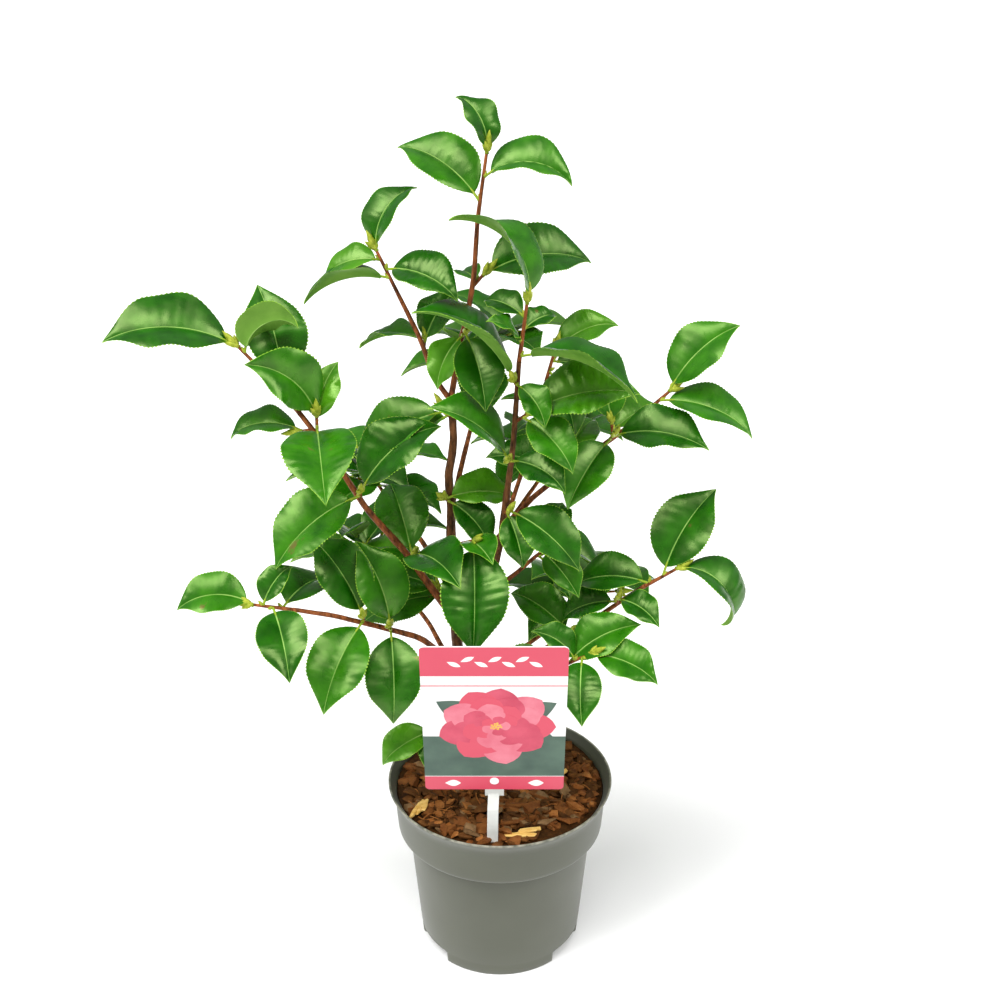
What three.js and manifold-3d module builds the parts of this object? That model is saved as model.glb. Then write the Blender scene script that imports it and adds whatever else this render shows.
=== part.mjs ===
// A young camellia shrub in its round nursery pot, with a plain care label on a plastic stem.
// Millimetres, +Z up. The origin is the centre of the pot's flat underside; -Y is the front.

import * as THREE from "three";
import { mergeVertices } from "three/addons/utils/BufferGeometryUtils.js";
import Module from "manifold-3d";

const wasm = await Module();
wasm.setup();

// ---------------------------------------------------------------- driving dimensions

const GAP = 0.3; // clear space between neighbouring pieces

const POT = {
  height: 125,
  footRadius: 54,
  bodyTopRadius: 62, // under the band
  bandBottom: 90,
  bandLowRadius: 69,
  bandHighRadius: 71,
  lipRadius: 75,
  lipHeight: 6,
  wall: 1.4,
  floor: 3,
  footRingInside: 44,
  footRingHeight: 13,
  notchDepthRadius: 48,
  notchHeight: 9,
  notchWidth: 36, // degrees
  notchHeadings: [-30, 90, 210],
  segments: 40,
};

const MULCH = {
  top: 118.5,
  shoulder: 1.5, // from the wall to the level top
  shoulderDrop: 1,
  lump: 5.2, // from the deepest dip to the highest chip
  sunk: 0.65, // share of the lumps that is below the top
  flatRadius: 19, // level round the trunk
  rings: 5,
  seed: 11,
};

const LABEL = {
  width: 87,
  height: 132,
  thickness: 0.8,
  corner: 3,
  lean: 16, // degrees, the top towards the front
  foot: [-3.5, -58, 157], // middle of the card's bottom edge
  stemWidth: 7,
  stemThickness: 1.4,
  stemFoot: [-5, -62, 106],
  stemBend: [-4.5, -59, 142],
  stemTop: [-4, -54.8, 152],
  plateWidth: 12,
  plateHeight: 30,
  plateDrop: 8, // below the card's bottom edge
  buttonRadius: 2.8,
  buttonRise: 9,
  buttonHeight: 1.4,
};

const BARK_SIDES = 6;

// The trunk's root flare: heights above the soil with the swelling there.
const ROOT_FLARE = [[0, 1.9], [3, 1.45], [9, 1.12], [20, 1]];

const TWIG = {
  sides: 4,
  rootRadius: 1.1, // where a twig leaves the side of a limb
  tipRadius: 0.9,
  sideRootRadius: 1,
  sideTipRadius: 0.8,
  sideLift: 0.6, // of its stem's pitch
};

const LEAF = {
  stalk: 0.1, // share of the length that is leaf stalk
  width: 0.63, // of the blade's length
  thickness: 1.1,
  fold: 13, // degrees that each half rises from the midrib
  facing: 28, // degrees that a blade in front leans out to the front
  backFacing: -4,
  backFrom: 30, // roots beyond this Y are at the back
  arch: 50, // degrees that the midrib bends down from root to tip
  stations: [0.02, 0.2, 0.46, 0.76],
  stalkRadius: 1,
  stalkDepth: 0.8, // of its radius
  neck: 1.2, // of the stalk's radius, where the blade begins
  clearWidth: 0.6,
  clearThickness: 0.5,
};

// A shoot's end bud: shares of its length from the twig's tip, with the swelling there.
const BUD = { length: 9, radius: 1.9, tipRadius: 0.25, shape: [[-0.25, 0.4], [0.35, 1], [0.75, 0.6]] };

// Where a leaf's first place is taken it turns or lifts by the next of these, in degrees.
const TURNS = [
  [0, 0], [0, 9], [0, -9], [11, 0], [-11, 0], [11, 9], [-11, 9], [11, -9], [-11, -9],
  [0, 18], [0, -18], [22, 0], [-22, 0], [22, 14], [-22, 14], [22, -14], [-22, -14],
  [34, 6], [-34, 6], [34, -12], [-34, -12], [48, 10], [-48, 10],
];

// ---------------------------------------------------------------- trunk and boughs
// Each limb runs through a few points of its centre line and tapers between two radii.
// A limb "on" another starts on that limb's centre line at the height of its first point.

const LIMBS = [
  { name: "trunk", radii: [4.4, 2.2], path: [
    [-22, 8, MULCH.top + GAP], [-26, 5, 200], [-31, 1, 280], [-30, 0, 332],
    [-32, 0, 347], [-28, 1, 368], [-29, 4, 400]] },
  { name: "bough_leader", on: "trunk", radii: [1.9, 1.3], path: [
    [-29, 4, 400], [-24, 6, 431], [-19, 8, 450], [-15, 9, 473], [-13, 11, 505]] },
  { name: "bough_upper_left", on: "trunk", radii: [1.7, 1.3], path: [
    [-29, 4, 396], [-39, 3, 411], [-47, 4, 436], [-57, 5, 458]] },
  { name: "bough_second_stem", on: "trunk", radii: [2.9, 1.4], path: [
    [-26, 5, 190], [-10, -9, 256], [1, -14, 314], [8, -18, 379], [11, -18, 430]] },
  { name: "bough_third_stem", on: "bough_second_stem", radii: [1.5, 1.2], path: [
    [1, -14, 318], [14, 6, 350], [25, 21, 377], [28, 25, 400]] },
  { name: "bough_upper_right", on: "bough_second_stem", radii: [1.9, 1.3], path: [
    [0, -13, 308], [16, -8, 334], [38, -2, 351], [73, 5, 375], [86, 7, 386]] },
  { name: "bough_left", on: "trunk", radii: [2.5, 1.4], path: [
    [-29, 2, 245], [-60, -5, 300], [-80, -14, 331], [-106, -19, 381], [-128, -23, 416]] },
  { name: "bough_lower_left", on: "trunk", radii: [2.2, 1.3], path: [
    [-26, 4, 208], [-50, -16, 243], [-71, -28, 257], [-102, -41, 274], [-125, -48, 282]] },
  { name: "bough_centre_right", on: "bough_second_stem", radii: [1.6, 1.2], path: [
    [-6, -11, 274], [6, -13, 284], [22, -12, 299]] },
  { name: "bough_right", on: "trunk", radii: [2.4, 1.3], path: [
    [-24, 6, 172], [13, -5, 218], [50, -10, 245], [83, -15, 275], [90, -17, 281]] },
  { name: "bough_lower_right", on: "bough_right", radii: [1.7, 1.2], path: [
    [8, -4, 212], [22, -22, 222], [37, -35, 233]] },
  { name: "bough_back_left", on: "trunk", radii: [2, 1.3], path: [
    [-31, 1, 265], [-50, 34, 285], [-74, 66, 300]] },
  { name: "bough_back_right", on: "trunk", radii: [2, 1.3], path: [
    [-30, 1, 262], [0, 34, 290], [28, 66, 318]] },
  { name: "bough_back_top", on: "trunk", radii: [1.8, 1.2], path: [
    [-30, 0, 325], [-22, 28, 352], [-12, 54, 384]] },
  { name: "bough_back_low_left", on: "trunk", radii: [1.9, 1.2], path: [
    [-26, 5, 196], [-48, 40, 222], [-74, 68, 240]] },
  { name: "bough_back_low_right", on: "trunk", radii: [2, 1.2], path: [
    [-25, 5, 183], [10, 38, 198], [46, 70, 208]] },
];

// ---------------------------------------------------------------- foliage
// A mass is one stem [heading, pitch, length] from a bough's tip or from a height on it.
// "leaves" are [heading, pitch, length, roll, arch, twist], from the tip down; "more" adds leaves
// and "twigs" side twigs by the seeded rule. Headings turn from +X towards +Y.

const MASSES = [
  { name: "leaves_top", on: "bough_leader", stem: [10, 82, 42], step: 14, leaves: [
    [140, 54, 42, 5, 95], [-4, -3, 58, -20, 95], [148, 27, 64]] },
  { name: "leaves_upper_left", on: "bough_upper_left", stem: [182, 66, 37], step: 6, leaves: [
    [40, 50, 50, 0, 100], [163, -17, 40], [-30, -9, 54], [-169, -13, 56, -12, 70]] },
  { name: "leaves_second_stem", on: "bough_second_stem", stem: [0, 83, 38], step: 8, leaves: [
    [168, 46, 78, 25, 120, -57], [140, 5, 34], [43, 8, 28], [-149, 57, 30], [-24, -12, 80, 12, 70]] },
  { name: "leaves_third_stem", on: "bough_third_stem", stem: [40, 70, 22], step: 6, leaves: [
    [5, 27, 45], [20, -30, 40], [-48, -58, 45]] },
  { name: "leaves_upper_right", on: "bough_upper_right", stem: [12, 40, 24], step: 8, leaves: [
    [12, 42, 60], [-16, -15, 64, -12, 56]] },
  { name: "leaves_left", on: "bough_left", stem: [185, 50, 36], step: 5, leaves: [
    [-168, 6, 80, 22, 64], [8, 28, 46, 60, 120]] },
  { name: "leaves_lower_left", on: "bough_lower_left", stem: [196, 17, 27], step: 6, leaves: [
    [-176, 0, 50, 30, 80], [40, 45, 32], [-70, -30, 54]], more: 1 },
  { name: "leaves_centre_right", on: "bough_centre_right", stem: [0, 42, 12], step: 4, leaves: [
    [76, 22, 40], [-50, -35, 38], [-10, -54, 38]] },
  { name: "leaves_right", on: "bough_right", stem: [-12, 37, 26], step: 10, leaves: [
    [-24, -47, 66, 0, 150], [40, 47, 66], [160, -19, 52]] },
  { name: "leaves_lower_right", on: "bough_lower_right", stem: [-27, 37, 28], step: 6, leaves: [
    [-18, -14, 48], [-98, -38, 46], [-178, 43, 38], [8, 22, 54]], more: 1 },

  { name: "leaves_leader_side", on: "bough_leader", at: 466, stem: [20, 45, 12], step: 5, leaves: [
    [18, 0, 72, -30, 60], [125, -5, 28]] },
  { name: "leaves_leader_root", on: "bough_leader", at: 436, stem: [-60, 45, 9], step: 3, leaves: [
    [-66, -48, 52], [-151, -48, 38]] },
  { name: "leaves_upper_left_side", on: "bough_upper_left", at: 430, stem: [80, 50, 9], step: 3, leaves: [
    [158, -14, 46, 0, 60], [50, 60, 40]] },
  { name: "leaves_second_upper", on: "bough_second_stem", at: 414, stem: [-110, 50, 10], step: 3, leaves: [
    [-168, 58, 80, 2, 60], [-40, -35, 34]] },
  { name: "leaves_second_middle", on: "bough_second_stem", at: 392, stem: [-20, 40, 12], step: 3, leaves: [
    [-14, 20, 70], [-40, -32, 48]] },
  { name: "leaves_second_lower", on: "bough_second_stem", at: 366, stem: [-100, 30, 12], step: 4, leaves: [
    [-159, 40, 66], [-32, -10, 44]] },
  { name: "leaves_second_root", on: "bough_second_stem", at: 330, stem: [-70, 40, 12], step: 4, leaves: [
    [-26, -36, 58], [-66, -40, 38]] },
  { name: "leaves_upper_right_side", on: "bough_upper_right", at: 370, stem: [-60, 50, 9], step: 3, leaves: [
    [-16, -1, 62, -24, 56], [-125, -38, 54]] },
  { name: "leaves_upper_right_back", on: "bough_upper_right", at: 372, stem: [100, 60, 11], step: 4, leaves: [
    [112, 50, 44], [20, 18, 46]] },
  { name: "leaves_upper_right_root", on: "bough_upper_right", at: 350, stem: [80, 50, 9], step: 3, leaves: [
    [60, 20, 48], [150, -10, 48]] },
  { name: "leaves_left_upper", on: "bough_left", at: 410, stem: [120, 60, 9], step: 3, leaves: [
    [112, 58, 64, 0, 45]] },
  { name: "leaves_left_middle", on: "bough_left", at: 384, stem: [-80, 78, 16], step: 4, leaves: [
    [-158, 44, 60, 62, 72], [60, 60, 40], [-82, -12, 76]] },
  { name: "leaves_left_lower", on: "bough_left", at: 340, stem: [-80, 50, 12], step: 4, leaves: [
    [22, 39, 67], [-150, -30, 70]] },
  { name: "leaves_left_root", on: "bough_left", at: 292, stem: [-70, 50, 12], step: 4, leaves: [
    [-60, 6, 62], [160, 20, 60]] },
  { name: "leaves_lower_left_side", on: "bough_lower_left", at: 264, stem: [-90, 60, 9], step: 3, leaves: [
    [148, 46, 62], [-118, -38, 66]] },
  { name: "leaves_lower_left_root", on: "bough_lower_left", at: 255, stem: [-90, 50, 9], step: 3, leaves: [
    [141, 54, 60], [-92, -56, 62]] },
  { name: "leaves_right_side", on: "bough_right", at: 266, stem: [-80, 60, 9], step: 3, leaves: [
    [-40, -8, 36], [170, -24, 42]] },
  { name: "leaves_right_root", on: "bough_right", at: 240, stem: [-70, 50, 10], step: 3, leaves: [
    [-20, 0, 38], [150, 20, 50]] },
  { name: "leaves_trunk_upper", on: "trunk", at: 384, stem: [150, 50, 10], step: 3, leaves: [
    [178, -36, 68], [-150, -60, 40]] },
  { name: "leaves_trunk_middle", on: "trunk", at: 330, stem: [-120, 40, 12], step: 4, leaves: [
    [-6, -8, 48], [-60, -45, 42]] },
  { name: "leaves_front_centre", on: "trunk", at: 300, stem: [-60, 30, 36], step: 7, leaves: [
    [-86, -54, 72], [-20, -6, 38]] },
  { name: "leaves_inner_left", on: "trunk", at: 258, stem: [160, 40, 14], step: 4, leaves: [
    [-160, 25, 60], [-178, -22, 60]] },
  { name: "leaves_foot", on: "trunk", at: 160, stem: [-124, 26, 40], step: 7, leaves: [
    [-155, -26, 42], [-110, -20, 32]] },

  { name: "leaves_back_left", on: "bough_back_left", stem: [128, 30, 42], step: 9,
    leaves: [], more: 4, twigs: 2 },
  { name: "leaves_back_right", on: "bough_back_right", stem: [52, 45, 42], step: 9,
    leaves: [], more: 4, twigs: 2 },
  { name: "leaves_back_top", on: "bough_back_top", stem: [80, 60, 40], step: 9,
    leaves: [], more: 4, twigs: 2 },
  { name: "leaves_back_low_left", on: "bough_back_low_left", stem: [135, 25, 42], step: 9,
    leaves: [], more: 4, twigs: 2 },
  { name: "leaves_back_low_right", on: "bough_back_low_right", stem: [40, 28, 42], step: 9,
    leaves: [], more: 4, twigs: 2 },
  { name: "leaves_left_side", on: "bough_left", at: 388, stem: [200, 0, 9], step: 3, leaves: [
    [180, -6, 48, 10, 75]] },
];

// The seeded rule for the leaves and twigs that a mass's row doesn't set itself.
const RULE = {
  turn: 137.5,
  turnSpread: 16,
  pitch: 26,
  pitchFall: 11,
  pitchSpread: 8,
  length: 56,
  lengthSpread: 8,
  leafStep: 9, // along the stem
  leafFirst: 3, // from the stem's tip
  twigAngle: 62,
  twigFirst: 0.3, // of the stem's length
  twigStep: 0.26,
  twigLength: 0.55,
  twigLeaves: 3,
};

// ---------------------------------------------------------------- materials

const material = (color, roughness) =>
  new THREE.MeshStandardMaterial({ color, roughness, metalness: 0 });

const POT_PLASTIC = material(0x75776a, 0.55);
const BARK_MULCH = material(0x6b4a36, 0.95);
const CARD = material(0xf25770, 0.35);
const STEM_PLASTIC = material(0xf0f0ee, 0.4);
const BARK = material(0x6a4630, 0.8);
const FOLIAGE = material(0x2f6b2a, 0.35);

// ---------------------------------------------------------------- small mathematics

const vec = (p) => new THREE.Vector3(p[0], p[1], p[2]);
const rad = (degrees) => (degrees * Math.PI) / 180;

// Numbers from 0 to 1 that are the same on every run.
function seeded(seed) {
  let state = (seed * 2654435761) >>> 0;
  return () => {
    state = (Math.imul(state, 1664525) + 1013904223) >>> 0;
    return state / 4294967296;
  };
}

function headed(heading, pitch) {
  const h = rad(heading);
  const p = rad(pitch);
  return new THREE.Vector3(Math.cos(p) * Math.cos(h), Math.cos(p) * Math.sin(h), Math.sin(p));
}

// ---------------------------------------------------------------- solids

function solidFrom(points, faces) {
  const vertProperties = new Float32Array(points.flatMap((p) => [p.x, p.y, p.z]));
  const triVerts = new Uint32Array(faces.flat());
  return new wasm.Manifold(new wasm.Mesh({ numProp: 3, vertProperties, triVerts }));
}

// A closed solid through rings of equally many points, each ring wound the same way round
// the line they follow. The last ring may be a single point.
function loft(rings) {
  const points = rings.flat();
  const count = rings[0].length;
  const faces = [];
  for (let i = 2; i < count; i++) faces.push([0, i, i - 1]);
  for (let r = 0; r + 1 < rings.length; r++) {
    const low = r * count;
    const high = low + count;
    for (let i = 0; i < count; i++) {
      const next = (i + 1) % count;
      if (rings[r + 1].length === 1) {
        faces.push([low + i, low + next, high]);
      } else {
        faces.push([low + i, low + next, high + next], [low + i, high + next, high + i]);
      }
    }
  }
  const last = (rings.length - 1) * count;
  if (rings.at(-1).length > 1) {
    for (let i = 2; i < count; i++) faces.push([last, last + i - 1, last + i]);
  }
  return solidFrom(points, faces);
}

// A round tapering limb through the points of its centre line.
function limbSolid(path, radii, sides, flare = 0) {
  const rings = [];
  let side = null;
  path.forEach((point, i) => {
    const back = path[Math.max(i - 1, 0)];
    const ahead = path[Math.min(i + 1, path.length - 1)];
    const along = new THREE.Vector3().subVectors(ahead, back).normalize();
    if (i === 0 && flare) along.set(0, 0, 1);
    side = side ?? new THREE.Vector3(Math.abs(along.x) > 0.9 ? 0 : 1, Math.abs(along.x) > 0.9 ? 1 : 0, 0);
    side = side.clone().addScaledVector(along, -side.dot(along)).normalize();
    const across = new THREE.Vector3().crossVectors(along, side);
    const radius = radii[i];
    const ring = [];
    for (let k = 0; k < sides; k++) {
      const angle = (k / sides) * 2 * Math.PI;
      ring.push(
        point.clone()
          .addScaledVector(side, Math.cos(angle) * radius)
          .addScaledVector(across, Math.sin(angle) * radius),
      );
    }
    rings.push(ring);
  });
  return loft(rings);
}

function taper(path, [first, last]) {
  const reach = [0];
  for (let i = 1; i < path.length; i++) reach.push(reach[i - 1] + path[i].distanceTo(path[i - 1]));
  return reach.map((r) => first + ((last - first) * r) / reach.at(-1));
}

function solidOfMesh(mesh) {
  mesh.updateWorldMatrix(true, false);
  const bare = mesh.geometry.clone().applyMatrix4(mesh.matrixWorld);
  bare.deleteAttribute("normal");
  bare.deleteAttribute("uv");
  const merged = mergeVertices(bare, 1e-4);
  return new wasm.Manifold(new wasm.Mesh({
    numProp: 3,
    vertProperties: merged.attributes.position.array,
    triVerts: new Uint32Array(merged.index.array),
  }));
}

// The largest body of a solid: loose scraps and sealed hollows go.
function wholeBody(solid) {
  const bodies = solid.decompose();
  return bodies.reduce((best, body) => (body.volume() > best.volume() ? body : best));
}

function meshOf(name, solid, look) {
  const cut = solid.getMesh();
  const geometry = new THREE.BufferGeometry();
  geometry.setAttribute("position", new THREE.BufferAttribute(new Float32Array(cut.vertProperties), 3));
  geometry.setIndex(new THREE.BufferAttribute(new Uint32Array(cut.triVerts), 1));
  geometry.computeVertexNormals();
  const mesh = new THREE.Mesh(geometry, look);
  mesh.name = name;
  return mesh;
}

// ---------------------------------------------------------------- pot and mulch

function lathe(profile, segments) {
  const geometry = new THREE.LatheGeometry(profile.map(([r, z]) => new THREE.Vector2(r, z)), segments);
  geometry.rotateX(Math.PI / 2);
  return geometry;
}

// The inner face of the pot, drawn in by "inset".
function insideProfile(inset) {
  const { footRadius, bodyTopRadius, wall, footRingInside, footRingHeight, bandBottom } = POT;
  const slope = (bodyTopRadius - footRadius) / bandBottom;
  const low = footRadius + slope * footRingHeight - wall - inset;
  return [
    [0, POT.floor + inset],
    [footRingInside - inset, POT.floor + inset],
    [footRingInside - inset, footRingHeight + inset],
    [low, footRingHeight + inset],
    [bodyTopRadius - wall - inset, bandBottom + inset],
    [POT.bandLowRadius - wall - inset, bandBottom + wall + inset],
    [POT.bandHighRadius - wall - inset, POT.height - POT.lipHeight],
    [POT.lipRadius - wall - inset, POT.height],
  ];
}

function notchSolid(heading) {
  const half = rad(POT.notchWidth / 2);
  const shape = new THREE.Shape();
  shape.absarc(0, 0, POT.lipRadius, rad(heading) - half, rad(heading) + half, false);
  shape.absarc(0, 0, POT.notchDepthRadius, rad(heading) + half, rad(heading) - half, true);
  const below = 5;
  const depth = POT.notchHeight + below;
  const geometry = new THREE.ExtrudeGeometry(shape, { depth, bevelEnabled: false, curveSegments: 6 });
  geometry.translate(0, 0, -below);
  return solidOfMesh(new THREE.Mesh(geometry));
}

function potSolid() {
  const { footRadius, bodyTopRadius, bandBottom, height, lipRadius, lipHeight } = POT;
  const outside = [
    [0, 0],
    [footRadius - 1, 0],
    [footRadius, 1],
    [bodyTopRadius, bandBottom - 1],
    [POT.bandLowRadius, bandBottom],
    [POT.bandHighRadius, height - lipHeight],
    [lipRadius, height - lipHeight],
    [lipRadius, height - 1],
    [lipRadius - 0.5, height],
  ];
  const profile = [...outside, ...insideProfile(0).reverse()];
  let pot = solidOfMesh(new THREE.Mesh(lathe(profile, POT.segments)));
  for (const heading of POT.notchHeadings) pot = pot.subtract(notchSolid(heading));
  return pot;
}

// The potting mix with its bark top: lumpy, but level round the trunk and at the wall.
function mulchSolid() {
  const random = seeded(MULCH.seed);
  const wall = insideProfile(GAP).slice(0, -1);
  const top = wall.at(-1);
  const lipBottom = POT.height - POT.lipHeight;
  const share = (lipBottom - MULCH.top) / (lipBottom - POT.bandBottom);
  top[0] -= share * (POT.bandHighRadius - POT.bandLowRadius);
  top[1] = MULCH.top - MULCH.shoulderDrop;
  const profile = [...wall];
  for (let ring = MULCH.rings; ring > 0; ring--) {
    profile.push([(top[0] - MULCH.shoulder) * (ring / MULCH.rings), MULCH.top]);
  }
  profile.push([0, MULCH.top]);
  const geometry = lathe(profile, POT.segments);
  geometry.deleteAttribute("normal");
  geometry.deleteAttribute("uv");
  const merged = mergeVertices(geometry, 1e-4);
  const place = merged.attributes.position;
  const foot = LIMBS[0].path[0];
  for (let i = 0; i < place.count; i++) {
    const [x, y, z] = [place.getX(i), place.getY(i), place.getZ(i)];
    const fromTrunk = Math.hypot(x - foot[0], y - foot[1]);
    const lump = (random() - MULCH.sunk) * MULCH.lump;
    if (z === MULCH.top && fromTrunk > MULCH.flatRadius) place.setZ(i, z + lump);
  }
  return solidOfMesh(new THREE.Mesh(merged));
}

// ---------------------------------------------------------------- label

function roundedCard() {
  const { width, height, corner } = LABEL;
  const half = width / 2;
  const shape = new THREE.Shape();
  shape.absarc(half - corner, corner, corner, -Math.PI / 2, 0);
  shape.absarc(half - corner, height - corner, corner, 0, Math.PI / 2);
  shape.absarc(corner - half, height - corner, corner, Math.PI / 2, Math.PI);
  shape.absarc(corner - half, corner, corner, Math.PI, 1.5 * Math.PI);
  const geometry = new THREE.ExtrudeGeometry(shape, {
    depth: LABEL.thickness, bevelEnabled: false, curveSegments: 3,
  });
  return geometry.translate(0, 0, -LABEL.thickness);
}

// The card's own frame: X across, Y up the card, Z out of its front face.
function onCard(solid) {
  const stand = new THREE.Matrix4().makeRotationX(Math.PI / 2 + rad(LABEL.lean));
  stand.setPosition(vec(LABEL.foot));
  return solid.transform(stand.elements);
}

function labelCardSolid() {
  const card = solidOfMesh(new THREE.Mesh(roundedCard()));
  const button = new THREE.CylinderGeometry(LABEL.buttonRadius, LABEL.buttonRadius, LABEL.buttonHeight, 12);
  button.rotateX(Math.PI / 2).translate(0, LABEL.buttonRise, LABEL.buttonHeight / 2 - 0.2);
  return onCard(card.add(solidOfMesh(new THREE.Mesh(button))));
}

function labelStemSolid(extra) {
  const { stemWidth, stemThickness, plateWidth, plateHeight, thickness } = LABEL;
  const plate = new THREE.BoxGeometry(plateWidth, plateHeight, stemThickness);
  const behind = -thickness - GAP - stemThickness / 2;
  plate.translate(0, plateHeight / 2 - LABEL.plateDrop, behind);
  const holder = onCard(solidOfMesh(new THREE.Mesh(plate)));
  const line = [LABEL.stemFoot, LABEL.stemBend, LABEL.stemTop].map(vec);
  const across = stemWidth / 2 + extra;
  const deep = stemThickness / 2 + extra;
  const rings = line.map((p) => [[-1, -1], [1, -1], [1, 1], [-1, 1]].map(
    ([i, j]) => new THREE.Vector3(p.x + i * across, p.y + j * deep, p.z),
  ));
  const stem = loft(rings);
  return extra ? stem : wholeBody(holder.add(stem));
}

// ---------------------------------------------------------------- limbs

const limbs = new Map();

function pointAtHeight(path, z) {
  for (let i = 1; i < path.length; i++) {
    if (z <= path[i].z || i === path.length - 1) {
      const share = (z - path[i - 1].z) / (path[i].z - path[i - 1].z);
      return path[i - 1].clone().lerp(path[i], share);
    }
  }
  return path[0].clone();
}

function buildLimb(row) {
  const path = row.path.map(vec);
  const radii = taper(path, row.radii);
  if (row.name === "trunk") {
    const slope = new THREE.Vector3().subVectors(path[1], path[0]).divideScalar(path[1].z - path[0].z);
    const foot = ROOT_FLARE.map(([rise]) => path[0].clone().addScaledVector(slope, rise));
    path.splice(0, 1, ...foot);
    radii.splice(0, 1, ...ROOT_FLARE.map(([, swell]) => row.radii[0] * swell));
  }
  const parent = limbs.get(row.on);
  if (parent) path[0] = pointAtHeight(parent.path, path[0].z);
  const flat = row.name === "trunk";
  let solid = limbSolid(path, radii, BARK_SIDES, flat);
  for (const other of limbs.values()) {
    if (near(solid, other.clear)) solid = wholeBody(solid.subtract(other.clear));
  }
  const past = path.at(-1).clone().sub(path.at(-2)).setLength(GAP).add(path.at(-1));
  const clear = limbSolid([...path.slice(0, -1), past], radii.map((r) => r + GAP), BARK_SIDES, flat);
  limbs.set(row.name, { path, radii, solid, clear });
}

// ---------------------------------------------------------------- leaves

// Half the blade's width at a share of its length, as a part of the full half width.
function bladeWidth(share) {
  return Math.sin(Math.PI * share ** 0.82) ** 0.85;
}

// Stations of one leaf: places on its midrib with the side and up directions there.
function leafStations({ root, heading, pitch, length, roll, arch, twist }) {
  const steps = 20;
  const stations = [];
  const at = root.clone();
  for (let i = 0; i <= steps; i++) {
    const share = i / steps;
    const lift = pitch + arch * (0.5 - share);
    const along = headed(heading, lift);
    const h = rad(heading);
    const level = new THREE.Vector3(Math.sin(h), -Math.cos(h), 0);
    const up = new THREE.Vector3().crossVectors(level, along);
    const turned = rad(roll + twist * share);
    const side = level.clone().multiplyScalar(Math.cos(turned)).addScaledVector(up, Math.sin(turned));
    const face = new THREE.Vector3().crossVectors(side, along).normalize();
    stations.push({ at: at.clone(), side, face });
    at.addScaledVector(along, length / steps);
  }
  return stations;
}

function stationAt(stations, share) {
  const place = share * (stations.length - 1);
  const low = Math.min(Math.floor(place), stations.length - 2);
  const mix = place - low;
  const [a, b] = [stations[low], stations[low + 1]];
  return {
    at: a.at.clone().lerp(b.at, mix),
    side: a.side.clone().lerp(b.side, mix).normalize(),
    face: a.face.clone().lerp(b.face, mix).normalize(),
  };
}

function leafRing(station, halfWidth, halfThickness, rise) {
  const { at, side, face } = station;
  return [
    at.clone().addScaledVector(side, -halfWidth).addScaledVector(face, rise),
    at.clone().addScaledVector(face, halfThickness),
    at.clone().addScaledVector(side, halfWidth).addScaledVector(face, rise),
    at.clone().addScaledVector(face, -halfThickness),
  ];
}

// A leaf as a solid: a thin stalk that widens into a blade, folded up along its midrib and
// sharp at its edges. With "spare" it is the space that the leaf keeps free, without stalk.
function leafSolid(leaf, spare) {
  const stations = leafStations(leaf);
  const blade = leaf.length * (1 - LEAF.stalk);
  const half = (blade * LEAF.width) / 2 + (spare ? LEAF.clearWidth : 0);
  const thick = LEAF.thickness / 2 + (spare ? LEAF.clearThickness : 0);
  const rings = [];
  if (!spare) rings.push(leafRing(stations[0], LEAF.stalkRadius, LEAF.stalkRadius * LEAF.stalkDepth, 0));
  for (const share of LEAF.stations) {
    const width = share === LEAF.stations[0] ? LEAF.stalkRadius * LEAF.neck : half * bladeWidth(share);
    const rise = width * Math.tan(rad(LEAF.fold));
    rings.push(leafRing(stationAt(stations, LEAF.stalk + (1 - LEAF.stalk) * share), width, thick, rise));
  }
  rings.push([stations.at(-1).at]);
  return loft(rings);
}

// The leaves of one mass: those of its row and those that the rule adds.
function leafRows(row, random) {
  const rows = row.leaves.map(([heading, pitch, length, roll, arch = LEAF.arch, twist = 0]) => (
    { heading, pitch, length, roll, arch, twist }));
  let heading = row.leaves.length ? row.leaves.at(-1)[0] : row.stem[0];
  for (let i = 0; i < (row.more ?? 0); i++) {
    heading += RULE.turn + (random() - 0.5) * RULE.turnSpread;
    rows.push({
      heading,
      pitch: RULE.pitch - RULE.pitchFall * rows.length + (random() - 0.5) * RULE.pitchSpread,
      length: RULE.length + (random() - 0.5) * 2 * RULE.lengthSpread,
      arch: LEAF.arch,
      twist: 0,
    });
  }
  return rows;
}

// A mass's stem and side twigs, each with the leaves that it carries.
function twigsOf(row, seed) {
  const random = seeded(seed);
  const limb = limbs.get(row.on);
  const stemWay = headed(row.stem[0], row.stem[1]);
  const clearOfTip = limb.path.at(-1).clone().addScaledVector(stemWay, GAP);
  const start = row.at ? pointAtHeight(limb.path, row.at) : clearOfTip;
  const tip = start.clone().addScaledVector(stemWay, row.stem[2]);
  const base = row.at ? TWIG.rootRadius : limb.radii.at(-1);
  const leaves = leafRows(row, random);
  const twigs = [{ start, tip, radii: [base, TWIG.tipRadius], step: row.step, leaves }];
  for (let i = 0; i < (row.twigs ?? 0); i++) {
    const from = start.clone().lerp(tip, RULE.twigFirst + RULE.twigStep * i);
    const turn = (i % 2 ? -1 : 1) * (RULE.twigAngle + (random() - 0.5) * RULE.turnSpread);
    const heading = row.stem[0] + turn;
    const length = row.stem[2] * RULE.twigLength;
    const end = from.clone().addScaledVector(headed(heading, row.stem[1] * TWIG.sideLift), length);
    const rows = leafRows({ leaves: [], stem: [heading], more: RULE.twigLeaves }, random);
    const radii = [TWIG.sideRootRadius, TWIG.sideTipRadius];
    twigs.push({ start: from, tip: end, radii, step: RULE.leafStep, leaves: rows });
  }
  return twigs;
}

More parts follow.
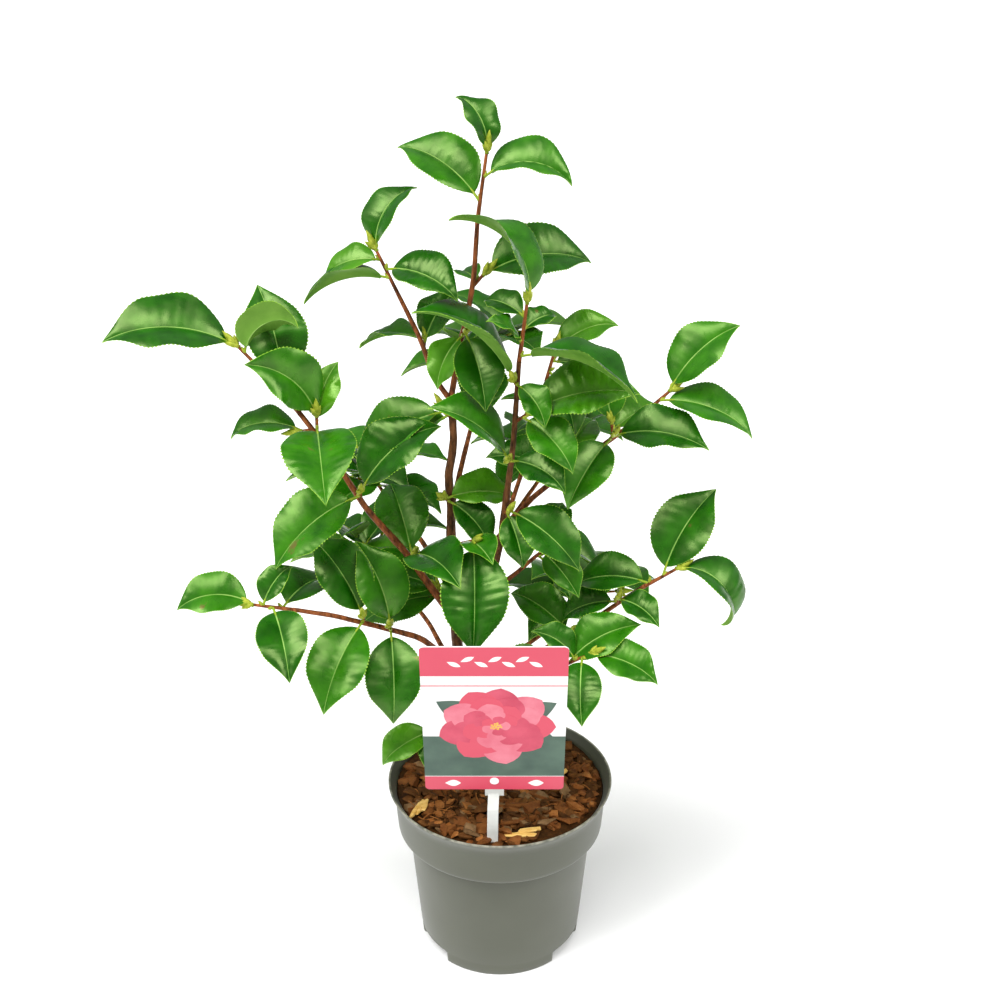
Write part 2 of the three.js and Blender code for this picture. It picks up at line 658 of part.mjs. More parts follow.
function budSolid(twig) {
  const along = new THREE.Vector3().subVectors(twig.tip, twig.start).normalize();
  const path = BUD.shape.map(([share]) => twig.tip.clone().addScaledVector(along, share * BUD.length));
  path.push(twig.tip.clone().addScaledVector(along, BUD.length));
  const radii = [...BUD.shape.map(([, swell]) => BUD.radius * swell), BUD.tipRadius];
  return limbSolid(path, radii, TWIG.sides);
}

function near(a, b) {
  const [p, q] = [a.boundingBox(), b.boundingBox()];
  return [0, 1, 2].every((i) => p.min[i] < q.max[i] && q.min[i] < p.max[i]);
}

function touches(solid, others) {
  return others.some((other) => near(solid, other) && solid.intersect(other).volume() > 1e-6);
}

// The wood of one mass: its stem, side twigs and buds.
function massWood(row, twigs) {
  const wood = twigs.map((twig) => limbSolid([twig.start, twig.tip], twig.radii, TWIG.sides));
  const whole = wood.concat(twigs.map(budSolid)).reduce((all, piece) => all.add(piece));
  return row.at ? wholeBody(whole.subtract(limbs.get(row.on).clear)) : whole;
}

// A mass's wood with every leaf that finds a free place.
function massWithLeaves(mass, obstacles) {
  const blades = [];
  let solid = mass.wood;
  for (const twig of mass.twigs) {
    const reach = twig.start.distanceTo(twig.tip);
    for (const [i, wanted] of twig.leaves.entries()) {
      const root = twig.tip.clone().lerp(twig.start, (RULE.leafFirst + twig.step * i) / reach);
      const leaf = freeLeaf({ ...wanted, root }, obstacles, blades);
      if (leaf) {
        blades.push(leafSolid(leaf, true));
        solid = solid.add(leafSolid(leaf, false));
      }
    }
  }
  return wholeBody(solid);
}

// The first of a leaf's places in which it touches nothing, or nothing if there is none.
function freeLeaf(wanted, obstacles, blades) {
  const facing = wanted.root.y > LEAF.backFrom ? LEAF.backFacing : LEAF.facing;
  for (const [turn, lift] of TURNS) {
    const heading = wanted.heading + turn;
    const roll = wanted.roll ?? -facing * Math.cos(rad(heading));
    const leaf = { ...wanted, heading, roll, pitch: wanted.pitch + lift };
    const space = leafSolid(leaf, true);
    const blocked = touches(space, blades) || touches(space, obstacles);
    if (!blocked && !touches(leafSolid(leaf, false), obstacles)) return leaf;
  }
  return null;
}

// ---------------------------------------------------------------- the whole plant

const plant = new THREE.Group();

const pot = potSolid();
const mulch = mulchSolid().subtract(labelStemSolid(GAP));
const labelCard = labelCardSolid();
const labelStem = labelStemSolid(0);
plant.add(meshOf("pot", pot, POT_PLASTIC));
plant.add(meshOf("mulch", mulch, BARK_MULCH));
plant.add(meshOf("label_card", labelCard, CARD));
plant.add(meshOf("label_stem", labelStem, STEM_PLASTIC));

for (const row of LIMBS) {
  buildLimb(row);
  plant.add(meshOf(row.name, limbs.get(row.name).solid, BARK));
}

const masses = MASSES.map((row, i) => {
  const twigs = twigsOf(row, i + 1);
  return { row, twigs, wood: massWood(row, twigs) };
});
const fixed = [pot, mulch, labelCard, labelStem, ...[...limbs.values()].map((limb) => limb.solid)];
const grown = masses.map((mass) => mass.wood);
masses.forEach((mass, i) => {
  const others = [...fixed, ...grown.filter((other, k) => k !== i)];
  if (touches(mass.wood, others)) throw new Error(`${mass.row.name}: its stem meets another piece`);
  grown[i] = massWithLeaves(mass, others);
  plant.add(meshOf(mass.row.name, grown[i], FOLIAGE));
});

export default plant;
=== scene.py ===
"""A young camellia in its round nursery pot, dressed with finished surfaces.

Shapes are worked out in millimetres, in the frame's own axes, and scaled when a piece is made.
"""
from bisect import bisect_left
from math import cos, pi, radians, sin, sqrt

import bmesh
import bpy
import numpy as np
from mathutils import Euler, Matrix, Vector, noise
from mathutils.kdtree import KDTree


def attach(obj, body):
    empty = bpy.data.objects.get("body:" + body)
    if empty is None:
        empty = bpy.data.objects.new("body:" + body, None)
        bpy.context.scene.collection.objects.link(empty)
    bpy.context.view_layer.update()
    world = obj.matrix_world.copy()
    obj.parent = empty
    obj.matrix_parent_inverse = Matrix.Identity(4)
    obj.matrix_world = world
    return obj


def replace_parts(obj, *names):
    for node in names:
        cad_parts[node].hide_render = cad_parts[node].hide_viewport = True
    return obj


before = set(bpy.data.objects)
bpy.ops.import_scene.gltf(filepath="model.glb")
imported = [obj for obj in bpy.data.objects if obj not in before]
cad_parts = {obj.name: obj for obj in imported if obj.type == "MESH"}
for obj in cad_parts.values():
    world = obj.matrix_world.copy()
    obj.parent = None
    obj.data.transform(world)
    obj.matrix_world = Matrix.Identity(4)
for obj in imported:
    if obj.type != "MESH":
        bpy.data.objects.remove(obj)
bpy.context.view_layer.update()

MM = 0.001

# ---- camera

CAMERA_PLACE = (0, -0.884, 0.767)
CAMERA_DOWN = 26.2  # degrees below level
CAMERA_LENS = 57.6
CAMERA_SENSOR = 36


def add_object(name, data):
    obj = bpy.data.objects.new(name, data)
    bpy.context.collection.objects.link(obj)
    return obj


def add_camera():
    data = bpy.data.cameras.new("camera")
    data.lens = CAMERA_LENS
    data.sensor_width = CAMERA_SENSOR
    camera = add_object("camera", data)
    camera.location = CAMERA_PLACE
    camera.rotation_euler = (radians(90 - CAMERA_DOWN), 0, 0)
    bpy.context.scene.camera = camera


add_camera()

# ---- the plant's rule
# The limbs, masses and rule are the solids' own, so that every leaf grows where its solid
# is. Limb paths and stems are in millimetres, angles in degrees.

GAP = 0.3
MULCH_TOP = 118.5

# name, parent, first and last radius, centre line
LIMBS = [
    ("trunk", None, (4.4, 2.2), [
        (-22, 8, MULCH_TOP + GAP), (-26, 5, 200), (-31, 1, 280), (-30, 0, 332),
        (-32, 0, 347), (-28, 1, 368), (-29, 4, 400)]),
    ("bough_leader", "trunk", (1.9, 1.3), [
        (-29, 4, 400), (-24, 6, 431), (-19, 8, 450), (-15, 9, 473), (-13, 11, 505)]),
    ("bough_upper_left", "trunk", (1.7, 1.3), [
        (-29, 4, 396), (-39, 3, 411), (-47, 4, 436), (-57, 5, 458)]),
    ("bough_second_stem", "trunk", (2.9, 1.4), [
        (-26, 5, 190), (-10, -9, 256), (1, -14, 314), (8, -18, 379), (11, -18, 430)]),
    ("bough_third_stem", "bough_second_stem", (1.5, 1.2), [
        (1, -14, 318), (14, 6, 350), (25, 21, 377), (28, 25, 400)]),
    ("bough_upper_right", "bough_second_stem", (1.9, 1.3), [
        (0, -13, 308), (16, -8, 334), (38, -2, 351), (73, 5, 375), (86, 7, 386)]),
    ("bough_left", "trunk", (2.5, 1.4), [
        (-29, 2, 245), (-60, -5, 300), (-80, -14, 331), (-106, -19, 381), (-128, -23, 416)]),
    ("bough_lower_left", "trunk", (2.2, 1.3), [
        (-26, 4, 208), (-50, -16, 243), (-71, -28, 257), (-102, -41, 274), (-125, -48, 282)]),
    ("bough_centre_right", "bough_second_stem", (1.6, 1.2), [
        (-6, -11, 274), (6, -13, 284), (22, -12, 299)]),
    ("bough_right", "trunk", (2.4, 1.3), [
        (-24, 6, 172), (13, -5, 218), (50, -10, 245), (83, -15, 275), (90, -17, 281)]),
    ("bough_lower_right", "bough_right", (1.7, 1.2), [
        (8, -4, 212), (22, -22, 222), (37, -35, 233)]),
    ("bough_back_left", "trunk", (2, 1.3), [(-31, 1, 265), (-50, 34, 285), (-74, 66, 300)]),
    ("bough_back_right", "trunk", (2, 1.3), [(-30, 1, 262), (0, 34, 290), (28, 66, 318)]),
    ("bough_back_top", "trunk", (1.8, 1.2), [(-30, 0, 325), (-22, 28, 352), (-12, 54, 384)]),
    ("bough_back_low_left", "trunk", (1.9, 1.2), [(-26, 5, 196), (-48, 40, 222), (-74, 68, 240)]),
    ("bough_back_low_right", "trunk", (2, 1.2), [(-25, 5, 183), (10, 38, 198), (46, 70, 208)]),
]

# name, limb, height on it (None: its tip), stem (heading, pitch, length), step between
# leaves, set leaves (heading, pitch, length, roll, arch, twist), and how many more leaves
# and side twigs the rule adds
MASSES = [
    ("top", "bough_leader", None, (10, 82, 42), 14, [
        (140, 54, 42, 5, 95), (-4, -3, 58, -20, 95), (148, 27, 64)]),
    ("upper_left", "bough_upper_left", None, (182, 66, 37), 6, [
        (40, 50, 50, 0, 100), (163, -17, 40), (-30, -9, 54), (-169, -13, 56, -12, 70)]),
    ("second_stem", "bough_second_stem", None, (0, 83, 38), 8, [
        (168, 46, 78, 25, 120, -57), (140, 5, 34), (43, 8, 28), (-149, 57, 30),
        (-24, -12, 80, 12, 70)]),
    ("third_stem", "bough_third_stem", None, (40, 70, 22), 6, [
        (5, 27, 45), (20, -30, 40), (-48, -58, 45)]),
    ("upper_right", "bough_upper_right", None, (12, 40, 24), 8, [
        (12, 42, 60), (-16, -15, 64, -12, 56)]),
    ("left", "bough_left", None, (185, 50, 36), 5, [(-168, 6, 80, 22, 64), (8, 28, 46, 60, 120)]),
    ("lower_left", "bough_lower_left", None, (196, 17, 27), 6, [
        (-176, 0, 50, 30, 80), (40, 45, 32), (-70, -30, 54)], 1, 0),
    ("centre_right", "bough_centre_right", None, (0, 42, 12), 4, [
        (76, 22, 40), (-50, -35, 38), (-10, -54, 38)]),
    ("right", "bough_right", None, (-12, 37, 26), 10, [
        (-24, -47, 66, 0, 150), (40, 47, 66), (160, -19, 52)]),
    ("lower_right", "bough_lower_right", None, (-27, 37, 28), 6, [
        (-18, -14, 48), (-98, -38, 46), (-178, 43, 38), (8, 22, 54)], 1, 0),
    ("leader_side", "bough_leader", 466, (20, 45, 12), 5, [(18, 0, 72, -30, 60), (125, -5, 28)]),
    ("leader_root", "bough_leader", 436, (-60, 45, 9), 3, [(-66, -48, 52), (-151, -48, 38)]),
    ("upper_left_side", "bough_upper_left", 430, (80, 50, 9), 3, [
        (158, -14, 46, 0, 60), (50, 60, 40)]),
    ("second_upper", "bough_second_stem", 414, (-110, 50, 10), 3, [
        (-168, 58, 80, 2, 60), (-40, -35, 34)]),
    ("second_middle", "bough_second_stem", 392, (-20, 40, 12), 3, [(-14, 20, 70), (-40, -32, 48)]),
    ("second_lower", "bough_second_stem", 366, (-100, 30, 12), 4, [(-159, 40, 66), (-32, -10, 44)]),
    ("second_root", "bough_second_stem", 330, (-70, 40, 12), 4, [(-26, -36, 58), (-66, -40, 38)]),
    ("upper_right_side", "bough_upper_right", 370, (-60, 50, 9), 3, [
        (-16, -1, 62, -24, 56), (-125, -38, 54)]),
    ("upper_right_back", "bough_upper_right", 372, (100, 60, 11), 4, [(112, 50, 44), (20, 18, 46)]),
    ("upper_right_root", "bough_upper_right", 350, (80, 50, 9), 3, [(60, 20, 48), (150, -10, 48)]),
    ("left_upper", "bough_left", 410, (120, 60, 9), 3, [(112, 58, 64, 0, 45)]),
    ("left_middle", "bough_left", 384, (-80, 78, 16), 4, [
        (-158, 44, 60, 62, 72), (60, 60, 40), (-82, -12, 76)]),
    ("left_lower", "bough_left", 340, (-80, 50, 12), 4, [(22, 39, 67), (-150, -30, 70)]),
    ("left_root", "bough_left", 292, (-70, 50, 12), 4, [(-60, 6, 62), (160, 20, 60)]),
    ("lower_left_side", "bough_lower_left", 264, (-90, 60, 9), 3, [(148, 46, 62), (-118, -38, 66)]),
    ("lower_left_root", "bough_lower_left", 255, (-90, 50, 9), 3, [(141, 54, 60), (-92, -56, 62)]),
    ("right_side", "bough_right", 266, (-80, 60, 9), 3, [(-40, -8, 36), (170, -24, 42)]),
    ("right_root", "bough_right", 240, (-70, 50, 10), 3, [(-20, 0, 38), (150, 20, 50)]),
    ("trunk_upper", "trunk", 384, (150, 50, 10), 3, [(178, -36, 68), (-150, -60, 40)]),
    ("trunk_middle", "trunk", 330, (-120, 40, 12), 4, [(-6, -8, 48), (-60, -45, 42)]),
    ("front_centre", "trunk", 300, (-60, 30, 36), 7, [(-86, -54, 72), (-20, -6, 38)]),
    ("inner_left", "trunk", 258, (160, 40, 14), 4, [(-160, 25, 60), (-178, -22, 60)]),
    ("foot", "trunk", 160, (-124, 26, 40), 7, [(-155, -26, 42), (-110, -20, 32)]),
    *[(name, "bough_" + name, None, stem, 9, [], 4, 2) for name, stem in (
        ("back_left", (128, 30, 42)), ("back_right", (52, 45, 42)), ("back_top", (80, 60, 40)),
        ("back_low_left", (135, 25, 42)), ("back_low_right", (40, 28, 42)))],
    ("left_side", "bough_left", 388, (200, 0, 9), 3, [(180, -6, 48, 10, 75)]),
]

# rise above the trunk's foot, and how much wider it is there
ROOT_FLARE = [(0, 1.9), (3, 1.45), (9, 1.12), (20, 1)]
TWIG_ROOT = 1.1  # radii
TWIG_TIP = 0.9
SIDE_TWIG = (1, 0.8)
SIDE_LIFT = 0.6  # of the stem's pitch

LEAF_STALK = 0.1  # of the leaf's length
LEAF_WIDTH = 0.63  # of the blade's length
LEAF_ARCH = 50
LEAF_FACING = 28  # its roll towards the viewer
BACK_FACING = -4
BACK_FROM = 30  # where the crown's back starts
CAD_STEPS = 20
FOUND_WITHIN = 0.05  # of a leaf solid's tip

BUD_LENGTH = 10.5
BUD_RADIUS = 2

# the turns and lifts that a leaf tries, in this order
TURNS = [
    (0, 0), (0, 9), (0, -9), (11, 0), (-11, 0), (11, 9), (-11, 9), (11, -9), (-11, -9),
    (0, 18), (0, -18), (22, 0), (-22, 0), (22, 14), (-22, 14), (22, -14), (-22, -14),
    (34, 6), (-34, 6), (34, -12), (-34, -12), (48, 10), (-48, 10),
]

LEAF_FIRST = 3
LEAF_STEP = 9
RULE_TURN = 137.5
TURN_SPREAD = 16
RULE_PITCH = 26
PITCH_FALL = 11
PITCH_SPREAD = 8
RULE_LENGTH = 56
LENGTH_SPREAD = 8
TWIG_ANGLE = 62
TWIG_FIRST = 0.3
TWIG_STEP = 0.26
TWIG_LENGTH = 0.55
TWIG_LEAVES = 3

RANDOM_START = 2654435761
RANDOM_FACTOR = 1664525
RANDOM_STEP = 1013904223
RANDOM_RANGE = 2 ** 32


def seeded(seed):
    """Numbers from 0 to 1 that are the same on every run."""
    state = seed * RANDOM_START % RANDOM_RANGE

    def draw():
        nonlocal state
        state = (state * RANDOM_FACTOR + RANDOM_STEP) % RANDOM_RANGE
        return state / RANDOM_RANGE

    return draw


def headed(heading, pitch):
    """The direction with a heading and a pitch in degrees."""
    h, p = radians(heading), radians(pitch)
    return Vector((cos(p) * cos(h), cos(p) * sin(h), sin(p)))


def point_at_height(path, z):
    for i in range(1, len(path)):
        if z <= path[i].z or i == len(path) - 1:
            share = (z - path[i - 1].z) / (path[i].z - path[i - 1].z)
            return path[i - 1].lerp(path[i], share)


def reaches_of(path):
    """How far along a path each of its points lies."""
    reaches = [0]
    for a, b in zip(path, path[1:]):
        reaches.append(reaches[-1] + (b - a).length)
    return reaches


def tapered(path, first, last):
    reaches = reaches_of(path)
    return [first + (last - first) * reach / reaches[-1] for reach in reaches]


def limb_lines():
    """Each limb's centre line and radii, as its solid has them."""
    lines = {}
    for name, parent, (first, last), points in LIMBS:
        path = [Vector(p) for p in points]
        radii = tapered(path, first, last)
        if name == "trunk":
            slope = (path[1] - path[0]) / (path[1].z - path[0].z)
            path[0:1] = [path[0] + slope * rise for rise, _ in ROOT_FLARE]
            radii[0:1] = [first * swell for _, swell in ROOT_FLARE]
        else:
            path[0] = point_at_height(lines[parent][0], path[0].z)
        lines[name] = (path, radii)
    return lines


LEAF_KEYS = ("heading", "pitch", "length", "roll", "arch", "twist")
PLAIN_LEAF = (0, 0, 0, None, LEAF_ARCH, 0)


def leaf_rows(set_leaves, heading, more, draw):
    """The leaves wanted on a stem: the set ones, then more by the rule."""
    rows = list(set_leaves)
    if rows:
        heading = rows[-1][0]
    for _ in range(more):
        heading += RULE_TURN + (draw() - 0.5) * TURN_SPREAD
        pitch = RULE_PITCH - PITCH_FALL * len(rows) + (draw() - 0.5) * PITCH_SPREAD
        length = RULE_LENGTH + (draw() - 0.5) * 2 * LENGTH_SPREAD
        rows.append((heading, pitch, length))
    return [dict(zip(LEAF_KEYS, (*row, *PLAIN_LEAF[len(row):]))) for row in rows]


def mass_twigs(mass, seed, lines):
    """A mass's stem and side twigs: start, tip, radii, step between leaves, and leaves."""
    _, limb, at, stem, step, set_leaves, *by_rule = mass
    more, side_twigs = by_rule or (0, 0)
    heading, pitch, length = stem
    draw = seeded(seed)
    path, radii = lines[limb]
    way = headed(heading, pitch)
    start = point_at_height(path, at) if at else path[-1] + way * GAP
    tip = start + way * length
    base = TWIG_ROOT if at else radii[-1]
    twigs = [(start, tip, (base, TWIG_TIP), step, leaf_rows(set_leaves, heading, more, draw))]
    for i in range(side_twigs):
        origin = start.lerp(tip, TWIG_FIRST + TWIG_STEP * i)
        turn = (-1 if i % 2 else 1) * (TWIG_ANGLE + (draw() - 0.5) * TURN_SPREAD)
        end = origin + headed(heading + turn, pitch * SIDE_LIFT) * length * TWIG_LENGTH
        leaves = leaf_rows([], heading + turn, TWIG_LEAVES, draw)
        twigs.append((origin, end, SIDE_TWIG, LEAF_STEP, leaves))
    return twigs


def solid_tip(leaf):
    """Where the leaf's solid ends."""
    at = leaf["root"].copy()
    for i in range(CAD_STEPS):
        lift = leaf["pitch"] + leaf["arch"] * (0.5 - i / CAD_STEPS)
        at += headed(leaf["heading"], lift) * (leaf["length"] / CAD_STEPS)
    return at


def corner_tree(node):
    """A node's corners, in millimetres, to look up."""
    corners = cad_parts[node].data.vertices
    tree = KDTree(len(corners))
    for i, corner in enumerate(corners):
        tree.insert(corner.co / MM, i)
    tree.balance()
    return tree


def placed_leaf(wanted, root, tree):
    """The leaf in the first of its places where its solid stands, or None."""
    facing = BACK_FACING if root.y > BACK_FROM else LEAF_FACING
    for turn, lift in TURNS:
        heading = wanted["heading"] + turn
        roll = wanted["roll"]
        if roll is None:
            roll = -facing * cos(radians(heading))
        leaf = {**wanted, "root": root, "heading": heading, "roll": roll}
        leaf["pitch"] += lift
        if tree.find(solid_tip(leaf))[2] < FOUND_WITHIN:
            return leaf
    return None


# ---- materials


def linear(*rgb):
    """A colour given as 0 to 255 on a screen."""
    def one(value):
        value /= 255
        return value / 12.92 if value <= 0.04045 else ((value + 0.055) / 1.055) ** 2.4
    return (*map(one, rgb), 1)


COLOUR_SPAN = (0.32, 0.68)  # the noise's values for the low and the high colour
COLOUR_DETAIL = 4
WEAR_SPAN = (0.3, 0.7)
WEAR_SCALE = 1.3  # to the patches of colour
WEAR_DETAIL = 1
GRAIN_DETAIL = 3


def tune(node, values):
    for socket, value in values.items():
        node.inputs[socket].default_value = value


def add_noise(tree, vector, scale, detail):
    node = tree.nodes.new("ShaderNodeTexNoise")
    tune(node, {"Scale": scale, "Detail": detail})
    tree.links.new(vector, node.inputs["Vector"])
    return node.outputs["Fac"]


def surface(name, low, high, patch, roughness, bump=None, specular=0.5, tint=None,
            stretch=(1, 1, 1)):
    """A surface whose colour wanders between two colours in patches of a size in millimetres.

    roughness is (least, most), and bump is (grain in mm, depth in mm)."""
    look = bpy.data.materials.new(name)
    look.use_nodes = True
    tree = look.node_tree
    nodes, links = tree.nodes, tree.links
    shader = nodes["Principled BSDF"]
    tune(shader, {"Specular IOR Level": specular})
    if tint:
        tune(shader, {"Specular Tint": tint})
    place = nodes.new("ShaderNodeTexCoord")
    scaled = nodes.new("ShaderNodeMapping")
    tune(scaled, {"Scale": stretch})
    links.new(place.outputs["Object"], scaled.inputs["Vector"])
    vector = scaled.outputs["Vector"]

    wander = add_noise(tree, vector, 1 / (patch * MM), COLOUR_DETAIL)
    ramp = nodes.new("ShaderNodeValToRGB")
    for element, at, colour in zip(ramp.color_ramp.elements, COLOUR_SPAN, (low, high)):
        element.position = at
        element.color = linear(*colour)
    links.new(wander, ramp.inputs["Fac"])
    links.new(ramp.outputs["Color"], shader.inputs["Base Color"])

    wear = add_noise(tree, vector, WEAR_SCALE / (patch * MM), WEAR_DETAIL)
    spread = nodes.new("ShaderNodeMapRange")
    ends = ("From Min", "From Max", "To Min", "To Max")
    tune(spread, dict(zip(ends, (*WEAR_SPAN, *roughness))))
    links.new(wear, spread.inputs["Value"])
    links.new(spread.outputs["Result"], shader.inputs["Roughness"])

    if bump:
        grain = add_noise(tree, vector, 1 / (bump[0] * MM), GRAIN_DETAIL)
        relief = nodes.new("ShaderNodeBump")
        tune(relief, {"Distance": bump[1] * MM, "Strength": 1})
        links.new(grain, relief.inputs["Height"])
        links.new(relief.outputs["Normal"], shader.inputs["Normal"])
    return look


LEAF_GLOSS = (0.24, 0.4)
LEAF_GRAIN = (3, 0.05)
LEAF_TINT = (0.74, 1, 0.36, 1)
LEAF_FLECK = (0.12, 0.1, 0.022, 1)
FLECK_SPAN = (0.71, 0.76)  # the noise's values between which a fleck begins
TOP_SPECULAR = 0.85
PART_SPECULAR = 0.4
BARK_TINT = (1, 0.6, 0.35, 1)
BARK_STRETCH = (1, 1, 0.35)


def leaf_surface(name, low, high, patch, roughness=LEAF_GLOSS, grain=LEAF_GRAIN,
                 specular=TOP_SPECULAR):
    """A green surface with a few small brown flecks."""
    look = surface(name, low, high, patch, roughness, grain, specular, LEAF_TINT)
    elements = look.node_tree.nodes["Color Ramp"].color_ramp.elements
    elements.new(FLECK_SPAN[0]).color = linear(*high)
    elements.new(FLECK_SPAN[1]).color = LEAF_FLECK
    return look


def leaf_part(name, low, high, patch, roughness, grain=None):
    """A green surface that shines less than a leaf's top."""
    return leaf_surface(name, low, high, patch, roughness, grain, PART_SPECULAR)


LEAF_TOPS = [
    leaf_surface("leaf_deep", (4, 68, 0), (28, 98, 4), 12),
    leaf_surface("leaf_green", (16, 86, 0), (50, 120, 10), 13),
    leaf_surface("leaf_bright", (44, 108, 4), (76, 140, 20), 16),
    leaf_surface("leaf_olive", (40, 92, 16), (74, 120, 42), 16, (0.3, 0.48)),
]
LEAF_UNDER = leaf_part("leaf_underside", (78, 126, 36), (108, 150, 58), 20, (0.5, 0.65), (2, 0.05))
LEAF_VEIN = leaf_part("leaf_midrib", (104, 150, 62), (146, 184, 96), 12, (0.35, 0.5))
LEAF_RIM = leaf_part("leaf_margin", (118, 172, 40), (160, 198, 78), 6, (0.35, 0.5))
LEAF_STALKS = leaf_part("leaf_stalk", (124, 154, 34), (158, 178, 58), 8, (0.4, 0.55), (1, 0.05))
BUD_SCALES = leaf_part("bud_scales", (126, 144, 28), (184, 190, 70), 2.5, (0.35, 0.5), (1, 0.05))
YOUNG_BARK = surface(
    "young_bark", (60, 26, 11), (168, 94, 52), 2.6, (0.35, 0.6), (0.7, 0.3),
    PART_SPECULAR, BARK_TINT, BARK_STRETCH)
OLD_BARK = surface(
    "old_bark", (26, 13, 5), (124, 78, 46), 2.8, (0.45, 0.75), (0.8, 0.55),
    PART_SPECULAR, BARK_TINT, BARK_STRETCH)

# ---- pieces


class Shape:
    """Points in millimetres and faces gathered for one piece."""

    def __init__(self):
        self.points = []
        self.faces = []
        self.looks = []

    def add(self, points, faces, looks):
        """looks is one number for all the faces, or one a face."""
        first = len(self.points)
        self.points.extend(points)
        self.faces.extend([tuple(first + i for i in face) for face in faces])
        self.looks.extend([looks] * len(faces) if isinstance(looks, int) else looks)

    def piece(self, name, materials, slot, smooth=True):
        mesh = bpy.data.meshes.new(name)
        mesh.from_pydata([tuple(c * MM for c in p) for p in self.points], [], self.faces)
        for look in materials:
            mesh.materials.append(look)
        mesh.polygons.foreach_set("material_index", self.looks)
        mesh.polygons.foreach_set("use_smooth", [smooth] * len(self.faces))
        mesh.update()
        obj = add_object(name, mesh)
        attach(obj, "root")
        return obj


def turned_faces(rings, n):
    """The faces of a turned shape: a point, rings of n points each, and a point."""
    faces = [(0, 1 + (k + 1) % n, 1 + k) for k in range(n)]
    for r in range(rings - 1):
        low, high = 1 + r * n, 1 + (r + 1) * n
        faces += [(low + k, low + (k + 1) % n, high + (k + 1) % n, high + k) for k in range(n)]
    last = 1 + (rings - 1) * n
    return faces + [(last + k, last + (k + 1) % n, last + n) for k in range(n)]


def polar(radius, angle):
    return radius * cos(angle), radius * sin(angle)


def add_tube(shape, path, radius_at, sides, look):
    """A closed tube round a path. radius_at(ring, angle) gives its radius there."""
    points, faces = [], []
    side = None
    for i, point in enumerate(path):
        along = (path[min(i + 1, len(path) - 1)] - path[max(i - 1, 0)]).normalized()
        if side is None:  # X, unless the path starts nearly along it
            side = Vector((0, 1, 0)) if abs(along.x) > 0.9 else Vector((1, 0, 0))
        side = (side - along * side.dot(along)).normalized()
        across = along.cross(side)
        for k in range(sides):
            angle = 2 * pi * k / sides
            radius = radius_at(i, angle)
            out = side * (cos(angle) * radius)
            points.append(point + out + across * (sin(angle) * radius))
    last = (len(path) - 1) * sides
    for low in range(0, last, sides):
        for k in range(sides):
            j = (k + 1) % sides
            faces.append((low + k, low + j, low + sides + j, low + sides + k))
    faces += [tuple(reversed(range(sides))), tuple(range(last, last + sides))]
    shape.add(points, faces, look)


# ---- leaves

LEAF_ROWS = 60  # two to a tooth of the margin
ROW_POWER = 0.94  # below 1, rows stand closer at the tip
COLUMN_PARTS = (0.22, 0.48, 0.74)  # of the way from midrib to rim
BELLY_POWER = 0.82  # below 1, the blade is widest nearer its base
FULLNESS = 0.85  # below 1, its sides are fuller
TIP_FROM = 0.64  # share of the blade where its tip starts
TIP_POWER = 1.3
TIP_NARROWING = 0.52
BASE_HALF = 1.0  # half the width at the blade's base
LEAST_HALF = 0.05
TEETH_DEPTH = 0.028  # of the half width
TEETH_POWER = 0.3  # how soon they fade at base and tip
RIM_WIDTH = 0.38
RIM_MOST = 0.3  # of the half width
MIDRIB_WIDTH = 0.46  # half of it, at the blade's base
MIDRIB_TAPER = 0.72
MIDRIB_MOST = 0.5  # of the half width
BLADE_THICKNESS = 0.5
EDGE_POWER = 8  # how near its edge the blade thins out
KEEL_DEPTH = 0.9  # below the midrib
KEEL_TAPER = 0.8
FOLD_RISE, FOLD_FALL = 0.37, 0.14  # the fold's cross-section, linear and squared
VEIN_SPACING = 6.5
VEIN_LEAN = 0.84  # how far a side vein runs forward per millimetre outwards
VEIN_BEND = 0.2
PILLOW_POWER = 0.6
WAVE_COUNT = 2.3
GROOVE_WIDTH = 1.1  # along the midrib, above
GROOVE_DEPTH = 0.3
HOOK_FROM = 0.66  # share of the leaf where it starts to hook down
TURN_PIVOT = 0.4  # share of the leaf about which it turns
STALK_SIDES = 8
STALK_REACH = 1.5  # of its own length, on below the blade
STALK_DROP = 0.35
STALK_RADII = (1.0, 0.85, 0.8, 0.8, 0.8, 0.75, 0.55)
UNDER_LOOK, VEIN_LOOK, RIM_LOOK, STALK_LOOK = range(len(LEAF_TOPS), len(LEAF_TOPS) + 4)
LEAF_LOOKS = [*LEAF_TOPS, LEAF_UNDER, LEAF_VEIN, LEAF_RIM, LEAF_STALKS]


def blade_width(share):
    """Half the blade's width, as a part of the greatest, with the tip drawn out to a point."""
    plain = np.sin(np.pi * share ** BELLY_POWER).clip(0, 1) ** FULLNESS
    drawn = ((share - TIP_FROM) / (1 - TIP_FROM)).clip(0, 1) ** TIP_POWER
    return plain * (1 - TIP_NARROWING * drawn)


